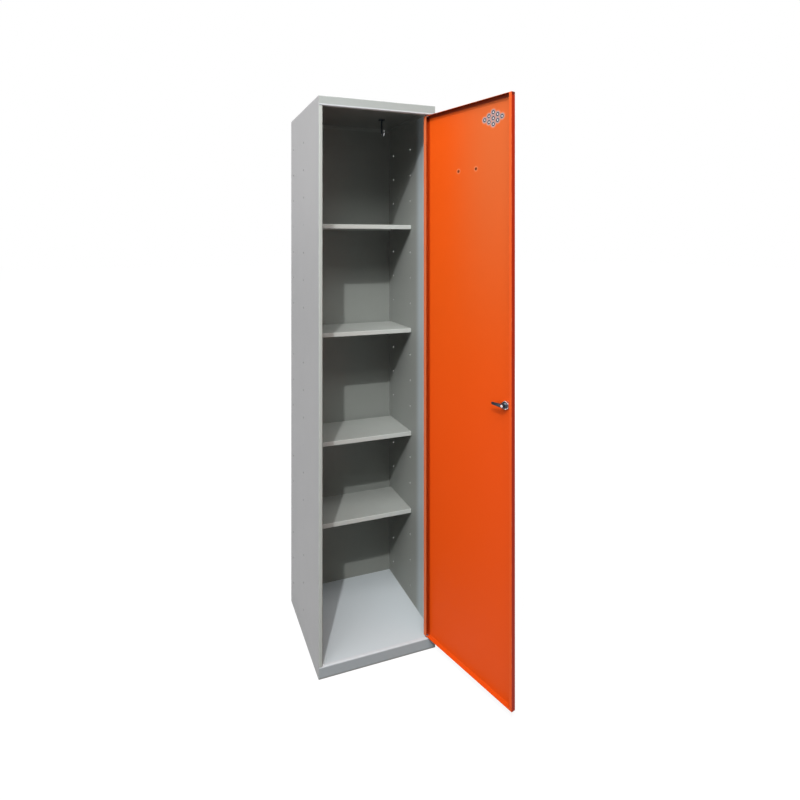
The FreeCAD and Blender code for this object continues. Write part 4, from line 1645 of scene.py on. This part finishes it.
@dataclass
class CamLock:
    """The lock: housing, nut and washer on the door, plug, lever and screw that turn."""

    x: float = -329.0 * MM
    height: float = 885.0 * MM
    face: float = -11.5 * MM
    outer: float = -9.0 * MM
    skin: float = -8.2 * MM
    washer_end: float = -7.2 * MM
    nut_end: float = -2.2 * MM
    end: float = 8.0 * MM
    cam_start: float = 8.6 * MM
    cam_end: float = 11.1 * MM
    face_radius: float = 11.0 * MM
    barrel_radius: float = 9.0 * MM
    bore: float = 6.05 * MM
    plug_radius: float = 6.0 * MM
    slot_width: float = 1.6 * MM
    slot_height: float = 7.0 * MM
    slot_depth: float = 6.0 * MM
    washer_radius: float = 12.0 * MM
    nut_flats: float = 22.0 * MM
    thread_pitch: float = 1.0 * MM
    thread_depth: float = 0.5 * MM
    square: float = 5.5 * MM
    lever_root: float = 5.6 * MM
    lever_tip: float = 3.7 * MM
    lever_reach: float = 36.0 * MM
    screw_radius: float = 4.4 * MM
    screw_head: float = 3.0 * MM
    screw_slot_width: float = 1.1 * MM
    screw_slot_length: float = 5.2 * MM
    screw_slot_depth: float = 1.4 * MM
    edge: float = 0.3 * MM

    def place(self) -> Matrix:
        """The lock's axis through the door."""
        return through_door(self.x, self.height)

    def housing(self) -> Shape:
        """A domed face and a threaded barrel round the bore.

        Returns:
            The housing.
        """
        threads = []
        start = self.washer_end
        count = round((self.end - 1.0 * MM - start) / self.thread_pitch)
        for turn in range(count):
            level = start + turn * self.thread_pitch
            threads.append((self.barrel_radius, level))
            threads.append((self.barrel_radius - self.thread_depth, level + self.thread_pitch / 2))
        return Shape().turned([
            (self.bore, self.face + 0.5 * MM),
            (self.bore + 0.5 * MM, self.face + 0.3 * MM),
            (self.bore + 1.2 * MM, self.face),
            (self.face_radius - 1.4 * MM, self.face + 0.1 * MM),
            (self.face_radius - 0.4 * MM, self.face + 0.6 * MM),
            (self.face_radius, self.face + 1.3 * MM),
            (self.face_radius, self.outer),
            (self.barrel_radius, self.outer),
            *threads,
            (self.barrel_radius - self.thread_depth, self.end - 0.8 * MM),
            (self.barrel_radius - 0.8 * MM, self.end),
            (self.bore, self.end),
        ], hollow=True, steps=64)

    def washer(self) -> Shape:
        """A flat washer behind the door's skin.

        Returns:
            The washer.
        """
        bore = self.barrel_radius + 0.2 * MM
        return Shape().turned([
            (bore, self.skin),
            (self.washer_radius, self.skin),
            (self.washer_radius, self.washer_end),
            (bore, self.washer_end),
        ], hollow=True).soften(0.2 * MM)

    def nut(self) -> Shape:
        """A six-sided nut with its edges rounded.

        Returns:
            The nut.
        """
        shape = Shape()
        across = self.nut_flats * 2 / math.sqrt(3.0)
        bore = 2 * (self.barrel_radius + 0.2 * MM)
        outer = shape.loop(shape.HEXAGON, across, across, self.washer_end)
        inner = shape.loop(shape.LOOP_POINTS, bore, bore, self.washer_end)
        return shape.plate(outer, inner, self.nut_end - self.washer_end).soften(0.5 * MM)

    def plug(self) -> Shape:
        """The plug with its key slot, and the square that drives the lever.

        Returns:
            The plug.
        """
        shape = Shape()
        across = 2 * self.plug_radius
        recess = self.face + 0.4 * MM
        outer = shape.loop(shape.LOOP_POINTS, across, across, recess)
        slot = shape.loop(shape.RECTANGLE, self.slot_width, self.slot_height, recess)
        shape.plate(outer, slot, self.slot_depth).soften(0.15 * MM)
        filled = Shape().turned([
            (0.0, recess + self.slot_depth - 1.0 * MM),
            (self.plug_radius - 0.2 * MM, recess + self.slot_depth - 1.0 * MM),
            (self.plug_radius - 0.05 * MM, self.end),
            (0.0, self.end),
        ])
        half = self.square / 2
        low = (-half, -half, self.end - 1.0 * MM)
        square = Shape().block(low, (half, half, self.cam_end - 0.3 * MM))
        return shape.join(filled).join(square.soften(self.edge))

    def lever(self) -> Shape:
        """A tapered plate, broad at the plug and narrow at its tip.

        Returns:
            The lever.
        """
        shape = Shape()
        across = 2 * self.lever_root
        outline = shape.loop(shape.LOOP_POINTS, across, across, self.cam_start)
        verts = {vert for edge in outline for vert in edge.verts}
        tip = [vert for vert in verts if vert.co.x > self.edge]
        narrower = self.lever_tip / self.lever_root
        bmesh.ops.scale(shape.mesh, verts=tip, vec=(narrower, narrower, 1.0))
        bmesh.ops.translate(shape.mesh, verts=tip, vec=(self.lever_reach, 0.0, 0.0))
        bore = self.square + 0.2 * MM
        hole = shape.loop(shape.RECTANGLE, bore, bore, self.cam_start)
        return shape.plate(outline, hole, self.cam_end - self.cam_start).soften(self.edge)

    def screw(self) -> Shape:
        """A round-headed screw with a slot, that holds the lever.

        Returns:
            The screw.
        """
        shape = Shape()
        top = self.cam_end + self.screw_head
        across = 2 * (self.screw_radius - 1.2 * MM)
        rim = shape.loop(shape.LOOP_POINTS, across, across, top)
        slot = shape.loop(
            shape.RECTANGLE, self.screw_slot_width, self.screw_slot_length, top
        )
        shape.plate(rim, slot, -self.screw_slot_depth).soften(0.12 * MM)
        head = Shape().turned([
            (0.0, top - 1.3 * MM),
            (self.screw_radius - 1.3 * MM, top - 1.3 * MM),
            (self.screw_radius - 1.25 * MM, top - 0.02 * MM),
            (self.screw_radius - 0.5 * MM, top - 0.5 * MM),
            (self.screw_radius - 0.1 * MM, top - 1.4 * MM),
            (self.screw_radius, self.cam_end + 0.4 * MM),
            (self.screw_radius, self.cam_end),
            (0.0, self.cam_end),
        ])
        return shape.join(head)

    def build(self, finishes: Finishes) -> None:
        """Makes the six pieces.

        Args:
            finishes: The finishes of the small pieces.
        """
        pieces = (
            # Painted dark reflection: the chrome housing wears the dark finish.
            (self.housing(), finishes.dark_zinc_and_reflection, Slot.BRIGHT_CHROME, Body.DOOR, "lock_housing"),
            (self.washer(), finishes.dark_zinc_and_reflection, Slot.ZINC_PLATE, Body.DOOR, "lock_washer"),
            (self.nut(), finishes.chrome, Slot.BRIGHT_CHROME, Body.DOOR, "lock_nut"),
            (self.plug(), finishes.chrome, Slot.BRIGHT_CHROME, Body.LOCK_CAM, "lock_plug"),
            (self.lever(), finishes.dark_zinc_and_reflection, Slot.ZINC_PLATE, Body.LOCK_CAM, "cam_lever"),
            (self.screw(), finishes.chrome, Slot.ZINC_PLATE, Body.LOCK_CAM, "cam_screw"),
        )
        for shape, material, slot, body, node in pieces:
            shape.moved(self.place()).piece(f"{node}_look", material, slot, body, (node,))


@dataclass
class CardHolder:
    """A plate folded forward round three sides, riveted to the outside of the door."""

    x: float = -174.75 * MM
    z: float = 1569.0 * MM
    width: float = 100.0 * MM
    tall: float = 46.0 * MM
    back: float = -9.0 * MM
    sheet: float = 0.8 * MM
    channel: float = 1.6 * MM
    rim: float = 6.0 * MM
    rivet_spacing: float = 74.0 * MM
    skin: float = -8.2 * MM
    head_radius: float = 3.5 * MM
    head_thick: float = 1.2 * MM
    tail_radius: float = 3.0 * MM
    tail_thick: float = 2.0 * MM
    shank_radius: float = 1.9 * MM
    mandrel_hole: float = 1.1 * MM

    def front_face(self, shape: Shape) -> bmesh.types.BMFace:
        """The face of the shape that lies farthest to the front."""
        return min(shape.mesh.faces, key=lambda face: face.calc_center_median().y)

    def sink(
        self, shape: Shape, face: bmesh.types.BMFace, deep: float, wider: float
    ) -> bmesh.types.BMFace:
        """Sinks a face into the plate and makes it wider.

        Args:
            shape: The shape that the face belongs to.
            face: The face.
            deep: How far it goes back.
            wider: How far each of its sides moves out.

        Returns:
            The sunken face.
        """
        drawn = bmesh.ops.extrude_discrete_faces(shape.mesh, faces=[face])
        (sunk,) = drawn["faces"]
        middle = sunk.calc_center_median()
        size_x = max(abs(vert.co.x - middle.x) for vert in sunk.verts)
        size_z = max(abs(vert.co.z - middle.z) for vert in sunk.verts)
        grow = ((size_x + wider) / size_x, 1.0, (size_z + wider) / size_z)
        bmesh.ops.scale(
            shape.mesh, verts=sunk.verts, vec=grow, space=Matrix.Translation(-middle)
        )
        bmesh.ops.translate(shape.mesh, verts=sunk.verts, vec=(0.0, deep, 0.0))
        return sunk

    def plate(self) -> Shape:
        """The folded plate: a shallow box with a rim, cut open along its top.

        Returns:
            The plate.
        """
        front = self.back - 2 * self.sheet - self.channel
        low = (self.x - self.width / 2, front, self.z - self.tall / 2)
        high = (self.x + self.width / 2, self.back, self.z + self.tall / 2 + self.rim)
        shape = Shape().block(low, high)
        face = self.front_face(shape)
        bmesh.ops.inset_individual(shape.mesh, faces=[face], thickness=self.rim)
        face = self.sink(shape, face, self.sheet, 0.0)
        face = self.sink(shape, face, 0.0, self.rim - self.sheet)
        self.sink(shape, face, self.channel, 0.0)
        top = self.z + self.tall / 2
        cut = bmesh.ops.bisect_plane(
            shape.mesh,
            geom=[*shape.mesh.verts, *shape.mesh.edges, *shape.mesh.faces],
            plane_co=(0.0, 0.0, top),
            plane_no=(0.0, 0.0, 1.0),
            clear_outer=True,
        )
        edges = [item for item in cut["geom_cut"] if isinstance(item, bmesh.types.BMEdge)]
        bmesh.ops.edgeloop_fill(shape.mesh, edges=edges)
        return shape.mend().soften(0.28 * MM, segments=2, angle=60.0)

    def rivet(self) -> Shape:
        """A rivet: a domed head outside, and a tail inside with the mandrel's hole.

        Returns:
            The rivet.
        """
        seat = self.back - self.sheet
        tail = self.skin + self.tail_thick
        hole = self.mandrel_hole
        return Shape().turned([
            (0.0, seat - self.head_thick),
            (0.45 * self.head_radius, seat - 0.95 * self.head_thick),
            (0.8 * self.head_radius, seat - 0.65 * self.head_thick),
            (self.head_radius, seat - 0.15 * self.head_thick),
            (self.head_radius, seat),
            (self.shank_radius, seat),
            (self.shank_radius, self.skin),
            (0.93 * self.tail_radius, self.skin),
            (self.tail_radius, self.skin + 0.3 * self.tail_thick),
            (0.95 * self.tail_radius, self.skin + 0.7 * self.tail_thick),
            (0.75 * self.tail_radius, tail - 0.1 * self.tail_thick),
            (hole + 0.3 * MM, tail),
            (hole, tail - 0.2 * MM),
            (hole, self.skin + 0.3 * MM),
            (0.0, self.skin + 0.3 * MM),
        ], steps=32)

    def build(self, finishes: Finishes) -> None:
        """Makes the plate and both rivets.

        Args:
            finishes: The finishes of the small pieces.
        """
        plate = self.plate().moved(DOOR_PLACE.matrix())
        plate.piece("card_plate", finishes.zinc, Slot.ZINC_PLATE, Body.DOOR, ("card_holder",))
        rivets = Shape()
        for side in Side:
            across = self.x + side.value * self.rivet_spacing / 2
            rivets.join(self.rivet().moved(through_door(across, self.z)))
        rivets.piece(
            "card_rivets", finishes.tarnish, Slot.ZINC_PLATE, Body.DOOR, ("card_holder_rivets",)
        )


# ---------------------------------------------------------------- studio


@dataclass(frozen=True)
class Lamp:
    """A round soft lamp: where it hangs, what it points at, its watts and its diameter."""

    name: str
    place: tuple[float, float, float]
    target: tuple[float, float, float]
    power: float
    size: float

    def hang(self) -> None:
        """Hangs the lamp in the scene."""
        data = bpy.data.lights.new(self.name, "AREA")
        data.shape = "DISK"
        data.size = self.size
        data.energy = self.power
        lamp = bpy.data.objects.new(self.name, data)
        way = Vector(self.target) - Vector(self.place)
        lamp.location = self.place
        lamp.rotation_euler = way.to_track_quat("-Z", "Y").to_euler()
        bpy.context.scene.collection.objects.link(lamp)


@dataclass
class Studio:
    """The floor, the lamps, the background and the camera."""

    floor_side: float = 60.0
    floor_colour: Colour = (0.16, 0.16, 0.16, 1.0)
    bounce_colour: Colour = (0.22, 0.22, 0.23, 1.0)
    floor_glow: float = 0.90
    glow_start: float = 0.9
    glow_end: float = 3.0
    ambient: Colour = (0.02, 0.02, 0.022, 1.0)
    lamps: tuple[Lamp, ...] = (
        Lamp("key", (-2.10, -4.05, 5.45), (0.0, -0.2, 0.9), 150.0, 0.12),
        Lamp("left", (-4.0, -0.45, 2.2), (0.0, -0.3, 1.0), 17.0, 1.6),
        Lamp("left_low", (-3.6, -0.95, 0.45), (0.0, -0.3, 0.4), 25.0, 1.2),
        Lamp("left_high", (-2.6, -1.6, 3.8), (0.0, 0.0, 1.2), 36.0, 1.8),
        Lamp("over", (-0.6, -1.8, 3.7), (0.0, -0.3, 1.2), 62.0, 2.2),
        Lamp("rear_right", (3.0, 2.5, 2.2), (0.0, 0.0, 0.9), 80.0, 1.6),
    )
    camera_place: tuple[float, float, float] = (-0.63528, -1.82771, 1.34422)
    camera_heading: float = -0.34793
    lens: float = 24.5592
    shift: Pair = (0.04235, -0.19588)

    def shown(self, wiring: Wiring) -> bpy.types.NodeSocket:
        """1 where the camera, a reflection or a clear piece shows the surface.

        Args:
            wiring: The wiring of a material or of the world.

        Returns:
            The mask, 0 or 1.
        """
        path = wiring.place("ShaderNodeLightPath").outputs
        seen = wiring.maths("MAXIMUM", path["Is Camera Ray"], path["Is Glossy Ray"])
        return wiring.maths("MAXIMUM", seen, path["Is Transmission Ray"])

    def floor_material(self) -> bpy.types.Material:
        """A pale floor that shows the cupboard's shadow near it and runs out to white.

        Returns:
            The material.
        """
        material, wiring = new_material("studio_floor")
        shown = self.shown(wiring)
        place = wiring.own_place()
        away = wiring.place("ShaderNodeVectorMath", {0: place}, operation="LENGTH").outputs["Value"]
        far = wiring.ease(away, self.glow_start, self.glow_end)
        near_glow = wiring.maths("MULTIPLY_ADD", far, 1.0 - self.floor_glow, self.floor_glow)
        glow = wiring.place("ShaderNodeEmission", {
            "Color": (1.0, 1.0, 1.0, 1.0),
            "Strength": wiring.maths("MULTIPLY", shown, near_glow),
        })
        cloth = wiring.place("ShaderNodeBsdfDiffuse", {
            "Color": wiring.tint(shown, self.bounce_colour, self.floor_colour),
        })
        both = wiring.place("ShaderNodeAddShader", {0: cloth.outputs[0], 1: glow.outputs[0]})
        wiring.place("ShaderNodeOutputMaterial", {0: both.outputs[0]})
        return material

    def lay_floor(self) -> None:
        """Makes the floor."""
        mesh = bmesh.new()
        bmesh.ops.create_grid(mesh, x_segments=1, y_segments=1, size=self.floor_side / 2)
        data = bpy.data.meshes.new("floor")
        mesh.to_mesh(data)
        mesh.free()
        data.materials.append(self.floor_material())
        floor = bpy.data.objects.new("floor", data)
        bpy.context.scene.collection.objects.link(floor)

    def hang_world(self) -> None:
        """A white background that lights the cupboard only softly."""
        world = bpy.data.worlds.new("studio")
        world.use_nodes = True
        world.node_tree.nodes.clear()
        wiring = Wiring(world.node_tree)
        shown = self.shown(wiring)
        white = (1.0, 1.0, 1.0, 1.0)
        light = wiring.place("ShaderNodeBackground", {
            "Color": wiring.tint(shown, self.ambient, white),
            "Strength": 1.0,
        })
        wiring.place("ShaderNodeOutputWorld", {0: light.outputs[0]})
        bpy.context.scene.world = world

    def set_camera(self) -> None:
        """Makes the camera and gives it to the scene."""
        data = bpy.data.cameras.new("camera")
        data.lens = self.lens
        data.shift_x, data.shift_y = self.shift
        camera = bpy.data.objects.new("camera", data)
        camera.location = self.camera_place
        camera.rotation_euler = (math.pi / 2, 0.0, self.camera_heading)
        bpy.context.scene.collection.objects.link(camera)
        bpy.context.scene.camera = camera

    def build(self) -> None:
        """Sets up everything round the cupboard."""
        bpy.context.scene.view_settings.view_transform = "Standard"
        self.set_camera()
        self.lay_floor()
        self.hang_world()
        for lamp in self.lamps:
            lamp.hang()
        log.info("studio: camera, floor, background and lamps")


def main() -> None:
    """Builds the cupboard's looks in order."""
    logging.basicConfig(level=logging.INFO, format="%(message)s")
    finishes = Finishes.mixed()
    Studio().build()
    Carcass().build()
    Shelves().build(finishes)
    CeilingHook().build(finishes)
    Door().build()
    Hinge().build(finishes)
    CamLock().build(finishes)
    CardHolder().build(finishes)


if __name__ == "__main__":
    main()
